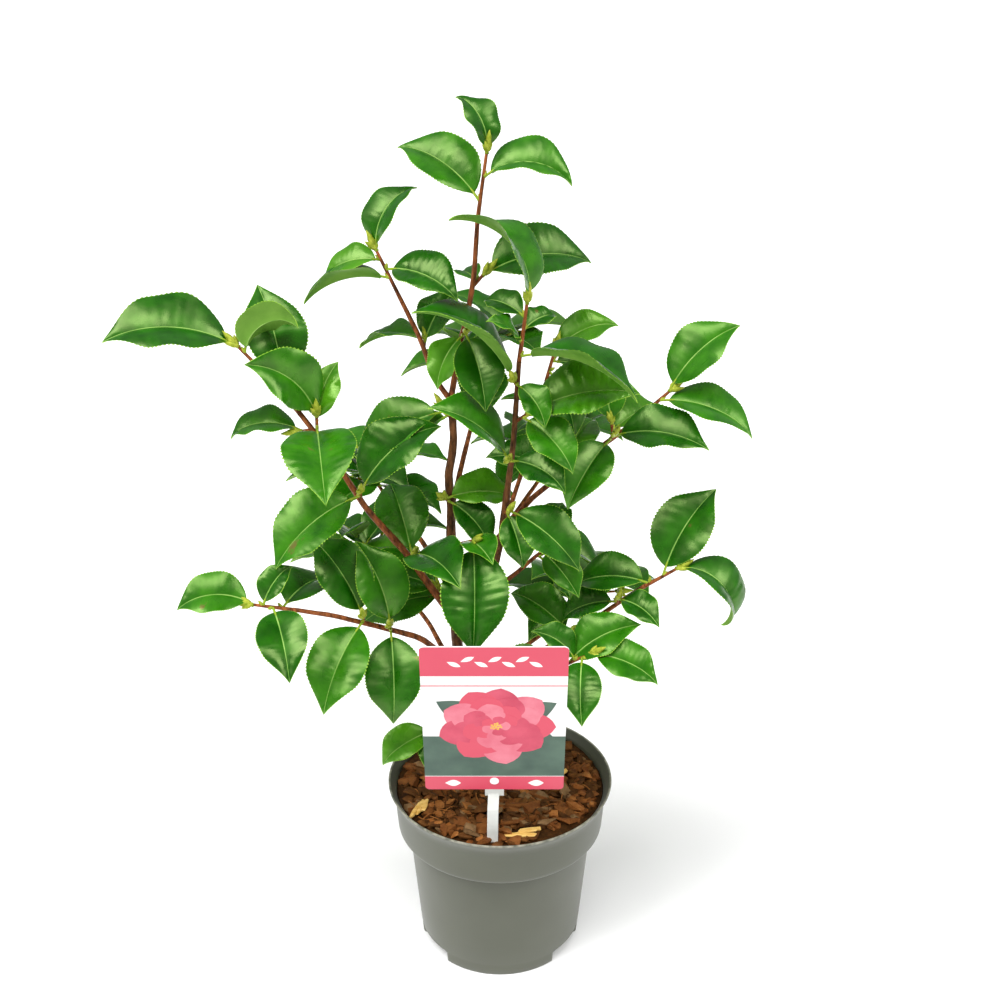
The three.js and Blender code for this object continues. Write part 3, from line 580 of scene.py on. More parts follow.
def leaf_axes(leaf, share):
    """Places along a leaf's middle at shares of its length, with side and face directions."""
    heading = radians(leaf["heading"])
    first = radians(leaf["pitch"] + leaf["arch"] / 2)
    bend = radians(leaf["arch"])
    lift = first - bend * share
    out = (sin(first) - np.sin(lift)) / bend * leaf["length"]
    rise = (np.cos(lift) - cos(first)) / bend * leaf["length"]
    level = np.array((sin(heading), -cos(heading), 0))
    ahead = np.array((cos(heading), sin(heading), 0))
    upright = np.array((0, 0, 1))
    at = np.array(leaf["root"]) + out[:, None] * ahead + rise[:, None] * upright
    hooked = leaf["hook"] * ((share - HOOK_FROM) / (1 - HOOK_FROM)).clip(0, 1) ** 2
    swept = leaf["sweep"] * share ** 2
    along = np.cos(lift)[:, None] * ahead + np.sin(lift)[:, None] * upright
    up = np.cross(level, along)
    turned = leaf["roll"] + leaf["twist"] * share + leaf["turn"] * (share - TURN_PIVOT)
    roll = np.radians(turned)[:, None]
    side = level * np.cos(roll) + up * np.sin(roll)
    face = np.cross(side, along)
    return at + side * swept[:, None] - face * hooked[:, None], side, face


def leaf_heights(share, across, reach, blade, leaf):
    """How far the blade's points stand above its middle line, with its veins and waves."""
    out = np.abs(across)
    fold = reach * leaf["fold"] * (FOLD_RISE * out - FOLD_FALL * out ** 2)
    ahead = share * blade - VEIN_LEAN * out * reach - VEIN_BEND * out ** 2 * reach
    pillow = np.abs(np.sin(np.pi * ahead / VEIN_SPACING)) ** PILLOW_POWER
    middle = np.sin(np.pi * share)
    body = (4 * out * (1 - out)) ** PILLOW_POWER * np.sqrt(middle)
    wave = np.sin(2 * np.pi * (WAVE_COUNT * share + leaf["phase"]) + np.sign(across)) * out ** 3
    groove = GROOVE_DEPTH * np.exp(-(out * reach / GROOVE_WIDTH) ** 2)
    return fold + leaf["ripple"] * pillow * body + leaf["wave"] * wave * middle - groove


def add_leaf(shape, leaf, top_look):
    """A closed blade with toothed edges, midrib and pale rim, and the leaf's stalk."""
    blade = leaf["length"] * (1 - LEAF_STALK)
    share = np.linspace(0, 1, LEAF_ROWS + 1) ** ROW_POWER
    reach = blade * LEAF_WIDTH / 2 * blade_width(share)
    reach = np.sqrt(reach ** 2 + (BASE_HALF * (1 - share)) ** 2) + LEAST_HALF
    teeth = np.where(np.arange(LEAF_ROWS + 1) % 2, TEETH_DEPTH, -TEETH_DEPTH)
    edge = reach * (1 + teeth * np.sin(np.pi * share) ** TEETH_POWER)
    midrib = np.minimum(MIDRIB_WIDTH * (1 - MIDRIB_TAPER * share) / reach, MIDRIB_MOST)
    rim = 1 - np.minimum(RIM_WIDTH / reach, RIM_MOST)
    half = [np.zeros_like(share), midrib]
    half += [midrib + (rim - midrib) * part for part in COLUMN_PARTS]
    half += [rim, np.ones_like(share)]
    across = np.stack([*[-t for t in reversed(half[1:])], *half], axis=1)
    columns = across.shape[1]

    shares = np.repeat(share[:, None], columns, axis=1)
    reaches = np.repeat(reach[:, None], columns, axis=1)
    height = leaf_heights(shares, across, reaches, blade, leaf)
    at, side, face = leaf_axes(leaf, LEAF_STALK + (1 - LEAF_STALK) * share)
    sideways = across * reaches
    sideways[:, 0] = -edge
    sideways[:, -1] = edge
    at, side, face = at[:, None, :], side[:, None, :], face[:, None, :]
    top = at + sideways[:, :, None] * side + height[:, :, None] * face
    keel = KEEL_DEPTH * (1 - KEEL_TAPER * shares) * np.exp(-(across * reaches) ** 2)
    depth = BLADE_THICKNESS * (1 - np.abs(across) ** EDGE_POWER) + keel
    below = top[:, 1:-1] - depth[:, 1:-1, None] * face

    points = top.reshape(-1, 3).tolist() + below.reshape(-1, 3).tolist()
    high = np.arange(across.size).reshape(across.shape)
    low = high.copy()
    low[:, 1:-1] = across.size + np.arange(below[..., 0].size).reshape(len(low), -1)
    high, low = high.tolist(), low.tolist()
    middle = columns // 2
    looks_top = [top_look] * (columns - 1)
    looks_top[0] = looks_top[-1] = RIM_LOOK
    looks_top[middle - 1] = looks_top[middle] = VEIN_LOOK
    looks_below = [UNDER_LOOK if look == top_look else look for look in looks_top]
    faces, looks = [], []
    for i in range(LEAF_ROWS):
        for j in range(columns - 1):
            faces.append((high[i][j], high[i][j + 1], high[i + 1][j + 1], high[i + 1][j]))
            faces.append((low[i][j], low[i + 1][j], low[i + 1][j + 1], low[i][j + 1]))
            looks += [looks_top[j], looks_below[j]]
    for i, turn in ((0, -1), (-1, 1)):
        rim_round = high[i] + low[i][-2:0:-1]
        faces.append(tuple(rim_round[::turn]))
        looks.append(VEIN_LOOK)
    shape.add(points, faces, looks)
    add_stalk(shape, leaf)


def add_stalk(shape, leaf):
    shares = np.linspace(0, LEAF_STALK * STALK_REACH, len(STALK_RADII))
    at, _, face = leaf_axes(leaf, shares)
    at = at - face * (STALK_DROP * shares / shares[-1])[:, None]
    path = [Vector(p) for p in at]
    add_tube(shape, path, lambda i, angle: STALK_RADII[i], STALK_SIDES, STALK_LOOK)


# ---- wood

LIMB_SIDES = 16
TWIG_SIDES = 10
RING_STEP = 1.3
BEND_ROUNDING = 7  # how far on either side a bend is rounded
ROUNDING_STEPS = 3
RIDGES = (2.2, 0.09, 1.3)  # spread round a limb and along it, height
FINE_RIDGES = (2.3, 0.45, 0.6)
KNOT_SPREAD = 0.055
SEED_STEPS = (7.3, 3.1)  # from one limb's ridges and knots to the next's
BUD_SIDES = 12
BUD_SCALES_ROUND = (0.12, 3, 2.4)  # depth, number round the bud, twist
BUD_PROFILE = (  # shares of the bud's length and radius
    (-0.25, 0.4), (-0.05, 0.62), (0.12, 0.9), (0.3, 1), (0.48, 0.92), (0.66, 0.7),
    (0.82, 0.42), (0.94, 0.2), (1, 0.06))
END_BUD_SIDES = ((-1, 0.8), (1, 0.62))  # side of a small end bud, share of the length
END_BUD_LEAN = 0.6
END_BUD_BACK = 1.5
END_BUD_RADIUS = 0.85  # of the large one's


def along_path(path, step):
    """Points at even steps along a path, with its reach at each and the bends rounded."""
    lengths = [(b - a).length for a, b in zip(path, path[1:])]
    total = sum(lengths)
    count = max(int(total / step), 2)

    def at(reach):
        reach = min(max(reach, 0), total)
        for i, length in enumerate(lengths):
            if reach <= length or i == len(lengths) - 1:
                return path[i].lerp(path[i + 1], min(reach / length, 1))
            reach -= length

    points = []
    reaches = [total * i / count for i in range(count + 1)]
    for reach in reaches:
        spread = min(BEND_ROUNDING, reach, total - reach)
        steps = range(-ROUNDING_STEPS, ROUNDING_STEPS + 1)
        near = (at(reach + spread * k / ROUNDING_STEPS) for k in steps)
        points.append(sum(near, Vector()) / len(steps))
    return points, reaches


def add_limb(shape, path, radii, sides, relief, seed, look, knots=0.0):
    """A tapering limb with lengthwise ridges and slight knots."""
    points, reaches = along_path(path, RING_STEP)
    marks = reaches_of(path)

    def radius_at(i, angle):
        reach = reaches[i]
        radius = float(np.interp(reach, marks, radii))
        x, y = cos(angle) * RIDGES[0], sin(angle) * RIDGES[0]
        around = Vector((x, y, reach * RIDGES[1] + seed * SEED_STEPS[0]))
        ridge = noise.noise(around) * RIDGES[2]
        x, y = around.x * FINE_RIDGES[0], around.y * FINE_RIDGES[0]
        fine = noise.noise(Vector((x, y, reach * FINE_RIDGES[1] + seed))) * FINE_RIDGES[2]
        knot = noise.noise(Vector((seed * SEED_STEPS[1], 0, reach * KNOT_SPREAD)))
        return radius * (1 + relief * (ridge + fine) + knots * max(0, knot) ** 2)

    add_tube(shape, points, radius_at, sides, look)


def add_bud(shape, base, way, length, radius):
    """A pointed bud wrapped in a few overlapping scales."""
    depth, count, twist = BUD_SCALES_ROUND
    path = [base + way * (length * share) for share, _ in BUD_PROFILE]

    def radius_at(i, angle):
        return radius * BUD_PROFILE[i][1] * (1 + depth * cos(count * angle + twist * i))

    add_tube(shape, path, radius_at, BUD_SIDES, 0)


def add_end_buds(shape, tip, way):
    """The buds at a shoot's end: a large one between two smaller ones."""
    add_bud(shape, tip, way, BUD_LENGTH, BUD_RADIUS)
    across = way.orthogonal().normalized()
    for side, share in END_BUD_SIDES:
        beside = (way + across * side * END_BUD_LEAN).normalized()
        base = tip - way * END_BUD_BACK
        add_bud(shape, base, beside, BUD_LENGTH * share, BUD_RADIUS * END_BUD_RADIUS)


# ---- the plant

AXIL_BUD_LENGTH = 4.2
AXIL_BUD_RADIUS = 1.1
AXIL_BUD_LEAN = 0.8
AXIL_BUD_OUT = 0.6
OLD_WOOD = ("trunk", "bough_second_stem")
OLD_RELIEF, YOUNG_RELIEF, TWIG_RELIEF = 0.13, 0.09, 0.05
LIMB_KNOTS = 0.4
TWIG_SEEDS = 40  # where the seeds of the twigs' ridges start
LEAF_SEEDS = 501  # and those of the leaves' characters
LEAF_GROUPS = {
    "leaves_upper_sprays": (
        "top upper_left second_stem third_stem upper_right leader_side leader_root "
        "upper_left_side second_upper second_middle second_lower second_root upper_right_side "
        "upper_right_back upper_right_root trunk_upper trunk_middle").split(),
    "leaves_lower_sprays": (
        "left lower_left centre_right right lower_right left_upper left_middle left_side "
        "left_lower left_root lower_left_side lower_left_root right_side right_root "
        "front_centre inner_left foot").split(),
    "leaves_back_sprays": "back_left back_right back_top back_low_left back_low_right".split(),
}
TOP_LOOK_SHARES = (0.42, 0.82, 0.95, 1)
# least and added amount and the draw's power; turn in degrees, lengths in millimetres
CHARACTER = {
    "fold": (0.9, 0.9, 1), "turn": (-11, 22, 1), "ripple": (0.42, 0.45, 2),
    "wave": (0.5, 1.4, 1), "phase": (0, 1, 1), "sweep": (-4, 8, 1), "hook": (0, 4, 2),
}
# Leaves whose veins the photo shows strongly: mass and place on its stem, and depth.
STRONG_VEINS = {
    ("second_middle", 0): 1.7, ("front_centre", 0): 1.2, ("left_middle", 2): 0.9,
    ("upper_left", 2): 1.3, ("left_upper", 0): 0.9, ("second_upper", 0): 0.9,
    ("left_lower", 1): 0.7, ("left_lower", 0): 0.9,
}
# Leaves whose top the photo shows in a colour of its own: which of LEAF_TOPS.
SET_LOOKS = {
    ("top", 0): 0, ("top", 1): 1, ("top", 2): 1, ("left", 0): 0, ("upper_right", 0): 1,
    ("upper_right", 1): 1, ("right", 0): 0, ("right", 1): 0, ("left_middle", 2): 1,
    ("left_lower", 1): 1, ("front_centre", 0): 0, ("second_middle", 0): 2,
    ("lower_left", 0): 1, ("left_lower", 0): 0, ("leader_side", 0): 0, ("second_root", 0): 0,
}


def leaf_character(leaf, draw):
    """What sets one leaf off from another."""
    for key, (least, more, power) in CHARACTER.items():
        leaf[key] = least + more * draw() ** power
    leaf["look"] = bisect_left(TOP_LOOK_SHARES, draw())


def grow_plant():
    lines = limb_lines()
    wood = Shape()
    for i, (name, (path, radii)) in enumerate(lines.items()):
        relief, look = (OLD_RELIEF, 0) if name in OLD_WOOD else (YOUNG_RELIEF, 1)
        add_limb(wood, path, radii, LIMB_SIDES, relief, i + 1, look, LIMB_KNOTS)
    limbs = wood.piece("trunk_and_boughs", [OLD_BARK, YOUNG_BARK], "bark")
    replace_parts(limbs, *lines)

    twigs, buds = Shape(), Shape()
    group_of = {name: group for group, names in LEAF_GROUPS.items() for name in names}
    leaves = {group: Shape() for group in LEAF_GROUPS}
    for i, mass in enumerate(MASSES):
        name = mass[0]
        tree = corner_tree("leaves_" + name)
        character = seeded(i + LEAF_SEEDS)
        for start, tip, radii, step, rows in mass_twigs(mass, i + 1, lines):
            way = (tip - start).normalized()
            reach = (tip - start).length
            add_limb(twigs, [start, tip], radii, TWIG_SIDES, TWIG_RELIEF, i + TWIG_SEEDS, 0)
            add_end_buds(buds, tip, way)
            for k, row in enumerate(rows):
                root = tip.lerp(start, (LEAF_FIRST + step * k) / reach)
                leaf = placed_leaf(row, root, tree)
                if leaf is None:
                    continue
                leaf_character(leaf, character)
                leaf["ripple"] = STRONG_VEINS.get((name, k), leaf["ripple"])
                leaf["look"] = SET_LOOKS.get((name, k), leaf["look"])
                add_leaf(leaves[group_of[name]], leaf, leaf["look"])
                out = headed(leaf["heading"], leaf["pitch"] + leaf["arch"] / 2)
                bud_way = (way + out * AXIL_BUD_LEAN).normalized()
                base = root + bud_way * AXIL_BUD_OUT
                add_bud(buds, base, bud_way, AXIL_BUD_LENGTH, AXIL_BUD_RADIUS)
    twigs.piece("twigs", [YOUNG_BARK], "bark")
    buds.piece("buds", [BUD_SCALES], "foliage")
    for group, names in LEAF_GROUPS.items():
        sprays = leaves[group].piece(group, LEAF_LOOKS, "foliage")
        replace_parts(sprays, *["leaves_" + name for name in names])


grow_plant()

# ---- pot

POT_SEGMENTS = 192
NOTCH_HEADINGS = (-30, 90, 210)
NOTCH_HALF = 16.5  # degrees
NOTCH_HEIGHT = 8
NOTCH_RADIUS = 48.3
NOTCH_EDGE = 3  # degrees over which its side rounds off

# radius and height, from the middle of the underside to the lip
POT_OUTSIDE = [
    (0, 0), (30, 0), (46, 0), (52.6, 0), (53.6, 0.35), (54, 1.2), (54.3, 4), (54.5, 6), (54.6, 8),
    (54.7, 9), (54.8, 9.8), (55, 11), (56, 22), (57.4, 38), (58.9, 55), (60.4, 72), (61.5, 84),
    (62, 87.6), (62.5, 88.6), (64, 89.4), (66.8, 89.9), (68.2, 90.5), (68.9, 91.6),
    (69.15, 93.2), (69.6, 99), (70.2, 108), (70.6, 113.5), (71, 116.6), (71.7, 118.6),
    (72.8, 120.4), (73.8, 122), (74.6, 123.6), (74.9, 124.3), (74.9, 124.75), (74.6, 125),
    (74.1, 125), (73.6, 124.7), (73.2, 124.1),
]
# and on, down the inside to the middle of the floor
POT_INSIDE = [
    (72.2, 122.4), (70.7, 120.4), (69.7, 118.8), (69.1, 108), (68.2, 96), (67.4, 92.5), (65, 91.3),
    (61.4, 90.6), (60.5, 89), (58.5, 66), (56, 36), (54.2, 16), (53.4, 13.4), (50, 13),
    (44.6, 12.8), (44, 12), (44, 4), (43, 3), (20, 3), (0, 3),
]
POT_SHEEN = 0.16
WORN_RINGS = (31, 36)  # the profile's rings between which the lip is worn


def notch_share(degrees):
    """1 inside a notch of the foot, 0 outside, rounded between."""
    away = min(abs((degrees - heading + 180) % 360 - 180) for heading in NOTCH_HEADINGS)
    share = min(max((NOTCH_HALF + NOTCH_EDGE / 2 - away) / NOTCH_EDGE, 0), 1)
    return share * share * (3 - 2 * share)


def build_pot():
    profile = POT_OUTSIDE + POT_INSIDE
    points = []
    for i, (r, z) in enumerate(profile):
        if r == 0:
            points.append((0, 0, z))
            continue
        notched = i < len(POT_OUTSIDE) and z <= NOTCH_HEIGHT and r > NOTCH_RADIUS
        for k in range(POT_SEGMENTS):
            degrees = 360 * k / POT_SEGMENTS
            radius = r + (NOTCH_RADIUS - r) * notch_share(degrees) if notched else r
            points.append((*polar(radius, radians(degrees)), z))
    rings = len(profile) - 2
    looks = []
    for r in range(rings + 1):
        looks += [int(WORN_RINGS[0] <= r < WORN_RINGS[1])] * POT_SEGMENTS
    shape = Shape()
    shape.add(points, turned_faces(rings, POT_SEGMENTS), looks)
    plastic = surface("pot_plastic", (66, 69, 53), (72, 75, 59), 60, (0.4, 0.5), (0.9, 0.02))
    tune(plastic.node_tree.nodes["Principled BSDF"], {"Sheen Weight": POT_SHEEN})
    worn = surface("pot_worn_lip", (78, 80, 68), (146, 144, 128), 4, (0.45, 0.6), (0.6, 0.05))
    pot = shape.piece("pot_shell", [plastic, worn], "pot_plastic")
    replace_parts(pot, "pot")


build_pot()

# ---- bark mulch

MULCH_RADIUS = 69.2
MULCH_LEVEL = MULCH_TOP - 0.4
SWELL = (1.4, 0.05)  # height and closeness of the bed's slow swells
LUMPS = ((1.3, 0.28, 0), (0.6, 1, 5))  # and of its lumps, with a place in the noise
BED_RINGS = 46
BED_SIDES = 110
BED_FLOOR = 100
BED_FLOOR_SHARE = 0.93  # of the rim's radius
CHIP_GLOSS = (0.55, 0.8)
CHIP_GRAIN = (0.8, 0.35)
CHIP_SPECULAR = 0.3
CHIP_COUNT = 560
CHIP_LENGTHS = (6, 11)  # here and below, the least and the added amount
CHIP_POWER = 1.8  # above 1, short chips are commoner
CHIP_WIDTHS = (0.5, 0.35)  # of the length
CHIP_DEPTHS = (2.4, 3)
CHIP_RISES = (-0.4, 2.8)
CHIP_TILTS = (1.1, 0.9)
CHIP_CORNERS = 18
RIM_SHARE = 0.48  # of a chip's length, clear of the rim
SPLINTER_CORNERS = 26
SPLINTER_RISE = 3.6
SPLINTER_THICKNESS = 2.2
SPLINTERS = ((15, -56, 25, 6, 6), (-52, -30, 19, 6, 74), (40, 6, 14, 4, 30))
FIBRE_COUNT = 70
FIBRES_AT_LEFT = 26  # of them, where the photo's tangle is
TANGLE = ((-46, 14), (-42, 12))  # least and spread, across and in depth
FIBRE_POINTS = 9
FIBRE_SIDES = 5
FIBRE_SPREAD = 62
FIBRE_LIMIT = 66
FIBRE_RISE = 2.9
FIBRE_RADII = (0.22, 0.25)
DARK_FIBRES = 0.6  # their share


def bark_surface(name, low, high, patch=5, stretch=(1, 1, 1)):
    return surface(
        name, low, high, patch, CHIP_GLOSS, CHIP_GRAIN, CHIP_SPECULAR, BARK_TINT, stretch)


CHIP_BROWNS = [
    bark_surface("bark_chip_red", (86, 45, 16), (118, 72, 34)),
    bark_surface("bark_chip_brown", (68, 38, 12), (100, 62, 28)),
    bark_surface("bark_chip_dark", (46, 24, 6), (78, 46, 18)),
    bark_surface("bark_chip_orange", (122, 70, 28), (154, 100, 52)),
    bark_surface("bark_chip_grey", (90, 66, 40), (122, 94, 64)),
    # the bed's surface: dark bark dust, painted darker still as painted shade for the gaps between
    # chips
    bark_surface("bark_dust", (34, 16, 3), (62, 36, 12), 3),
    bark_surface("wood_splinter", (190, 146, 70), (224, 188, 114), 3, (0.3, 1, 1)),
]
# the bed's look, bark dust with painted shade of the gaps between chips
DUST_AND_GAP_SHADE_LOOK = 5
SPLINTER_LOOK = 6
CHIP_SHARES = (0.3, 0.58, 0.76, 0.87, 1)


def hull_of(points):
    mesh = bmesh.new()
    for p in points:
        mesh.verts.new(p)
    bmesh.ops.convex_hull(mesh, input=mesh.verts)
    loose = [v for v in mesh.verts if not v.link_faces]
    bmesh.ops.delete(mesh, geom=loose, context="VERTS")
    mesh.verts.index_update()
    corners = [v.co.copy() for v in mesh.verts]
    faces = [tuple(v.index for v in f.verts) for f in mesh.faces]
    mesh.free()
    return corners, faces


def add_chip(shape, centre, size, turn, look, draw, corners=CHIP_CORNERS):
    """One angular flake: the hull of points scattered on a block."""
    points = []
    for _ in range(corners):
        p = [draw() - 0.5 for _ in range(3)]
        widest = max(abs(c) for c in p)
        push = 0.5 / widest if draw() < 0.75 else 0.4 / widest
        points.append([c * push * extent for c, extent in zip(p, size)])
    turned = turn.to_matrix()
    hull, faces = hull_of(points)
    shape.add([turned @ p + centre for p in hull], faces, look)


def mulch_level(x, y):
    height, closeness = SWELL
    return MULCH_LEVEL + height * noise.noise(Vector((x * closeness, y * closeness, 3.3)))


def add_bed():
    points = [(0, 0, mulch_level(0, 0))]
    n = BED_SIDES
    for r in range(1, BED_RINGS + 1):
        for k in range(n):
            x, y = polar(MULCH_RADIUS * r / BED_RINGS, 2 * pi * k / n)
            lump = sum(height * noise.noise(Vector((x * closeness, y * closeness, layer)))
                       for height, closeness, layer in LUMPS)
            points.append((x, y, mulch_level(x, y) + lump))
    for x, y, _ in points[-n:]:
        points.append((x * BED_FLOOR_SHARE, y * BED_FLOOR_SHARE, BED_FLOOR))
    points.append((0, 0, BED_FLOOR))
    # its rings run downwards, so each face is turned over
    faces = [(face[0], *face[:0:-1]) for face in turned_faces(BED_RINGS + 1, n)]
    bed = Shape()
    bed.add(points, faces, 0)
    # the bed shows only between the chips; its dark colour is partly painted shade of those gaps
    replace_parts(bed.piece("mulch_bed", [CHIP_BROWNS[DUST_AND_GAP_SHADE_LOOK]], "potting_bark"), "mulch")


def add_chips(draw):
    chips = Shape()
    for _ in range(CHIP_COUNT):
        long = CHIP_LENGTHS[0] + CHIP_LENGTHS[1] * draw() ** CHIP_POWER
        wide = long * (CHIP_WIDTHS[0] + CHIP_WIDTHS[1] * draw())
        size = (long, wide, CHIP_DEPTHS[0] + CHIP_DEPTHS[1] * draw())
        radius = (MULCH_RADIUS - long * RIM_SHARE) * sqrt(draw())
        x, y = polar(radius, 2 * pi * draw())
        z = mulch_level(x, y) + CHIP_RISES[0] + CHIP_RISES[1] * draw()
        turn = Euler([(draw() - 0.5) * tilt for tilt in CHIP_TILTS] + [draw() * 2 * pi])
        look = bisect_left(CHIP_SHARES, draw())
        add_chip(chips, Vector((x, y, z)), size, turn, look, draw)
    for x, y, length, width, heading in SPLINTERS:
        for k in (-1, 0, 1):  # three flakes side by side
            shift = Vector((k * length * 0.16, k * width * 0.3, (k + 1) * 0.5))
            ahead = radians(heading + k * 7)
            turn = Euler(((draw() - 0.5) * 0.3, (draw() - 0.5) * 0.2, ahead))
            centre = Vector((x, y, mulch_level(x, y) + SPLINTER_RISE)) + shift
            size = (length * (0.8 - 0.2 * k), width * 0.6, SPLINTER_THICKNESS)
            add_chip(chips, centre, size, turn, SPLINTER_LOOK, draw, SPLINTER_CORNERS)
    chips.piece("mulch_chips", CHIP_BROWNS, "potting_bark", smooth=False)


def add_fibres(draw):
    fibres = Shape()
    for i in range(FIBRE_COUNT):
        radius = FIBRE_SPREAD * sqrt(draw())
        start = Vector((*polar(radius, 2 * pi * draw()), 0))
        if i < FIBRES_AT_LEFT:
            start = Vector([at + spread * draw() for at, spread in TANGLE] + [0])
        heading = 2 * pi * draw()
        bend = (draw() - 0.5) * 0.5
        path = []
        for k in range(FIBRE_POINTS):
            level = mulch_level(start.x, start.y) + FIBRE_RISE + 1.2 * sin(k * 0.8 + i)
            if start.to_2d().length > FIBRE_LIMIT:
                break
            path.append(Vector((start.x, start.y, level)))
            heading += bend
            start = start + Vector((*polar(1, heading), 0)) * (1.6 + draw())
        if len(path) > 2:
            thick = FIBRE_RADII[0] + FIBRE_RADII[1] * draw()
            look = 0 if draw() < DARK_FIBRES else 1
            add_tube(fibres, path, lambda r, a: thick, FIBRE_SIDES, look)
    fibres.piece("mulch_fibres", [CHIP_BROWNS[2], CHIP_BROWNS[3]], "potting_bark")


def build_mulch():
    draw = seeded(77)
    add_bed()
    add_chips(draw)
    add_fibres(draw)


build_mulch()

# ---- label

CARD_WIDTH = 87
CARD_HEIGHT = 132
CARD_THICKNESS = 0.8
CARD_CORNER = 3
CORNER_STEPS = 6
CARD_LEAN = 16
CARD_FOOT = Vector((-3.5, -58, 157))
CARD_FRAME = Matrix.Translation(CARD_FOOT) @ Matrix.Rotation(radians(90 + CARD_LEAN), 4, "X")
CARD_GLOSS = (0.28, 0.4)
CARD_INKS = [
    ("card_white", (238, 238, 236), (244, 244, 242), 50),
    ("card_pink", (208, 60, 86), (212, 65, 91), 50),
    ("card_blush", (212, 92, 114), (224, 124, 140), 14),
    ("card_rose", (188, 38, 74), (208, 68, 96), 14),
    ("card_green", (40, 72, 58), (68, 98, 80), 20),
    ("card_yellow", (220, 158, 40), (236, 186, 78), 6),
]
PRINT = 0.06  # the height of a printed layer
SUNK = 0.02  # and how far it reaches into the one below
# heights on the card
FOOTER_TOP = 13
FIELD = (13.6, 52)
HEADER_FROM = CARD_HEIGHT - 25
RULE = (CARD_HEIGHT - 34, CARD_HEIGHT - 33.2)
FLOWER = (1, 62)
FLOWER_RADIUS = 36
FLOWER_LEAVES = (-24, 30, 148, 204)
LEAF_BLUNTNESS = 0.1
PETAL_BLUNTNESS = 0.62
PETAL_STEPS = 16
PETAL_RINGS = ((9, 1.0, 0.66), (8, 0.8, 0.56), (7, 0.6, 0.46), (6, 0.42, 0.34), (5, 0.26, 0.22))
STAMENS = 14
STAMEN_TURN = 2.4  # from one to the next
SPRIG_LEAVES = 7
SPRIG_STEP = 8
RIVET = (0, 9)


def add_plate(shape, outline, low, high, look):
    """A flat plate on the card, from its outline, counter-clockwise."""
    n = len(outline)
    points = [CARD_FRAME @ Vector((x, y, z)) for z in (low, high) for x, y in outline]
    faces = [tuple(reversed(range(n))), tuple(range(n, 2 * n))]
    faces += [(i, (i + 1) % n, n + (i + 1) % n, n + i) for i in range(n)]
    shape.add(points, faces, look)


def rounded_rectangle(left, bottom, right, top, corners=(0, 0, 0, 0)):
    """Its outline; corners gives the radii from the bottom right, counter-clockwise."""
    outline = []
    centres = ((right, bottom, -90), (right, top, 0), (left, top, 90), (left, bottom, 180))
    for (x, y, first), radius in zip(centres, corners):
        inward_x = -radius if x == right else radius
        inward_y = -radius if y == top else radius
        for k in range(CORNER_STEPS + 1 if radius else 1):
            out_x, out_y = polar(radius, radians(first + 90 * k / CORNER_STEPS))
            outline.append((x + inward_x + out_x, y + inward_y + out_y))
    return outline


def petal_outline(x, y, heading, length, width, blunt):
    """A rounded petal or, with little bluntness, a pointed leaf, from its foot at (x, y)."""
    outline = []
    along_x, along_y = polar(1, radians(heading))
    for k in range(2 * PETAL_STEPS):
        side = -1 if k <= PETAL_STEPS else 1
        share = k / PETAL_STEPS if side < 0 else 2 - k / PETAL_STEPS
        half = width / 2 * sin(pi * share ** (1 + blunt)) ** (1 - 0.45 * blunt)
        if share in (0, 1):
            half = 0
        ahead, out = share * length, side * half
        outline.append((x + ahead * along_x - out * along_y, y + ahead * along_y + out * along_x))
    return outline


def disc_outline(x, y, radius, steps):
    spokes = (polar(radius, 2 * pi * k / steps) for k in range(steps))
    return [(x + out_x, y + out_y) for out_x, out_y in spokes]


def add_rosette(shape, level, looks, draw):
    """A round double flower of overlapping petals, ring on ring."""
    for r, (count, reach, width) in enumerate(PETAL_RINGS):
        for k in range(count):
            heading = 360 * (k + 0.5 * (r % 2)) / count + (draw() - 0.5) * 10
            length = FLOWER_RADIUS * reach * (0.95 + 0.08 * draw())
            wide = FLOWER_RADIUS * width
            outline = petal_outline(*FLOWER, heading, length, wide, PETAL_BLUNTNESS)
            high = level + PRINT * (1 + 0.6 * k / count)
            add_plate(shape, outline, level - SUNK, high, looks[(r + k) % 3])
        level += PRINT


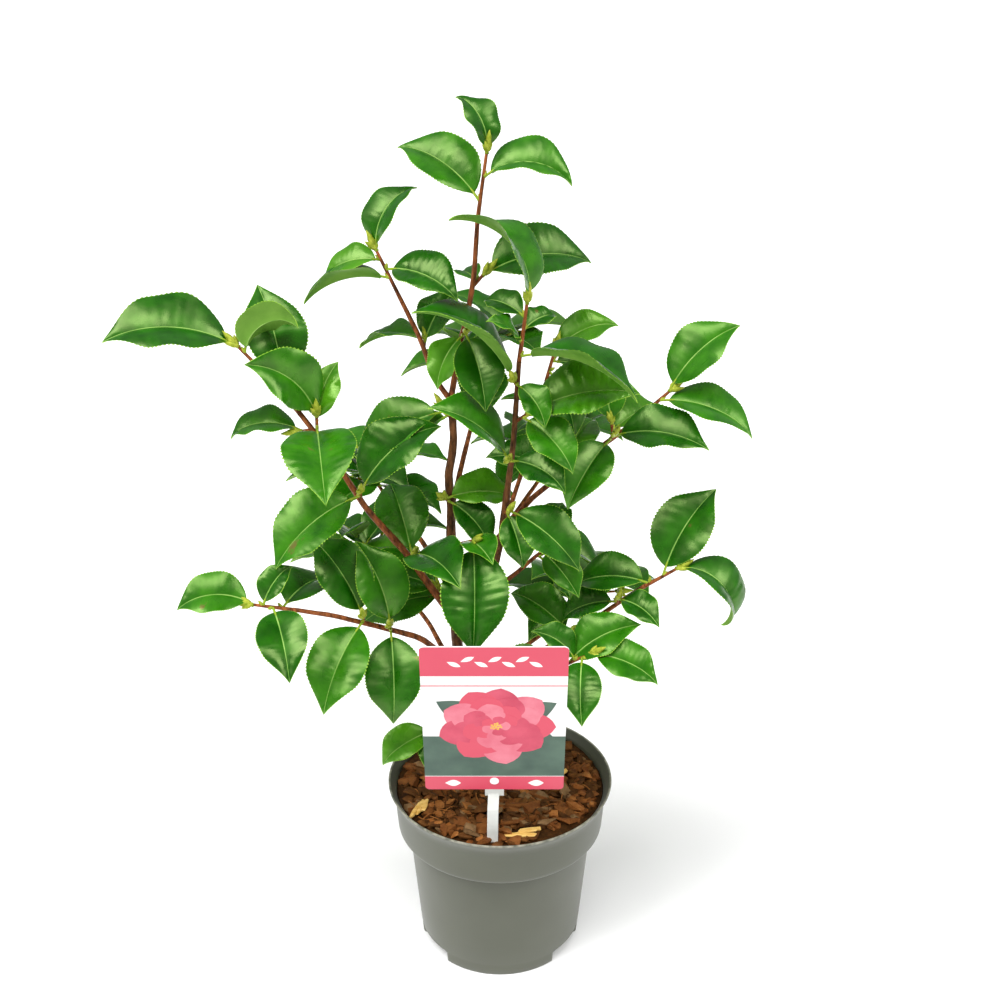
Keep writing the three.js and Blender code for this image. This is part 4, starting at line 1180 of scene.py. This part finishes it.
def build_label():
    white, pink, blush, rose, green, yellow = range(6)
    looks = [surface(*ink, CARD_GLOSS) for ink in CARD_INKS]
    card = Shape()
    half = CARD_WIDTH / 2
    corner = CARD_CORNER

    def print_on(outline, look, high=PRINT):
        add_plate(card, outline, -SUNK, high, look)

    board = rounded_rectangle(-half, 0, half, CARD_HEIGHT, (corner,) * 4)
    add_plate(card, board, -CARD_THICKNESS, 0, white)
    top = rounded_rectangle(-half, HEADER_FROM, half, CARD_HEIGHT, (0, corner, corner, 0))
    print_on(top, pink)
    print_on(rounded_rectangle(-half, RULE[0], half, RULE[1]), pink)
    for k in range(SPRIG_LEAVES):  # across the header
        x, y = (k - SPRIG_LEAVES // 2) * SPRIG_STEP - 3.5, CARD_HEIGHT - 12.5
        leaf = petal_outline(x, y, 28 if k % 2 else -28, 9, 3.6, LEAF_BLUNTNESS)
        print_on(leaf, white, 2 * PRINT)
    print_on(rounded_rectangle(-half, 0, half, FOOTER_TOP, (corner, 0, 0, corner)), pink)
    print_on(rounded_rectangle(-half, FIELD[0], half, FIELD[1]), green)
    for heading in FLOWER_LEAVES:
        print_on(petal_outline(*FLOWER, heading, 42, 19, LEAF_BLUNTNESS), green, 2 * PRINT)
    add_rosette(card, 2 * PRINT, (pink, blush, rose), seeded(5))
    for k in range(STAMENS):
        out_x, out_y = polar(0.9 * sqrt(k), k * STAMEN_TURN)
        dot = disc_outline(FLOWER[0] + out_x, FLOWER[1] + out_y, 0.8, 8)
        add_plate(card, dot, PRINT, 8 * PRINT, yellow)
    for x in (-26, 26):
        print_on(petal_outline(x - 5, 6.5, 0, 10, 6, LEAF_BLUNTNESS), white, 2 * PRINT)
    for radius, low, high in ((2.8, -0.1, 1), (2.1, 0.9, 1.2)):
        add_plate(card, disc_outline(*RIVET, radius, 28), low, high, white)
    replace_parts(card.piece("label_board", looks, "label_card", smooth=False), "label_card")


build_label()

# ---- carried-over solids

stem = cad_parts["label_stem"]
stem_plastic = surface(
    "label_stem_plastic", (204, 206, 200), (222, 223, 218), 14, (0.35, 0.5), (1.2, 0.03))
stem.data.materials.clear()
stem.data.materials.append(stem_plastic)

# ---- floor and light


FLOOR_HALF = 6  # metres
WORLD_STRENGTH = 0.31
SUNS = (  # name, place, angle in degrees, strength
    ("left", (-1.4, -0.7, 1.8), 36, 2.55),
    ("right", (1.5, -0.6, 1.6), 32, 1.65),
    ("front", (-0.2, -0.9, 2.1), 32, 1.6),
)


def add_floor():
    a = FLOOR_HALF
    mesh = bpy.data.meshes.new("floor")
    mesh.from_pydata([(-a, -a, 0), (a, -a, 0), (a, a, 0), (-a, a, 0)], [], [(0, 1, 2, 3)])
    paper = surface(
        "floor_paper", (246, 246, 246), (248, 248, 248), 400, (0.8, 0.9), specular=0.2)
    mesh.materials.append(paper)
    add_object("floor", mesh)


def add_sun(name, place, angle, strength):
    data = bpy.data.lights.new(name, "SUN")
    data.angle = radians(angle)
    data.energy = strength
    light = add_object(name, data)
    light.location = place
    light.rotation_euler = Vector(place).to_track_quat("Z", "Y").to_euler()


def add_light():
    world = bpy.data.worlds.new("studio")
    world.use_nodes = True
    background = world.node_tree.nodes["Background"]
    tune(background, {"Color": (1, 1, 1, 1), "Strength": WORLD_STRENGTH})
    bpy.context.scene.world = world
    for sun in SUNS:
        add_sun(*sun)
    bpy.context.scene.view_settings.view_transform = "Standard"


add_floor()
add_light()
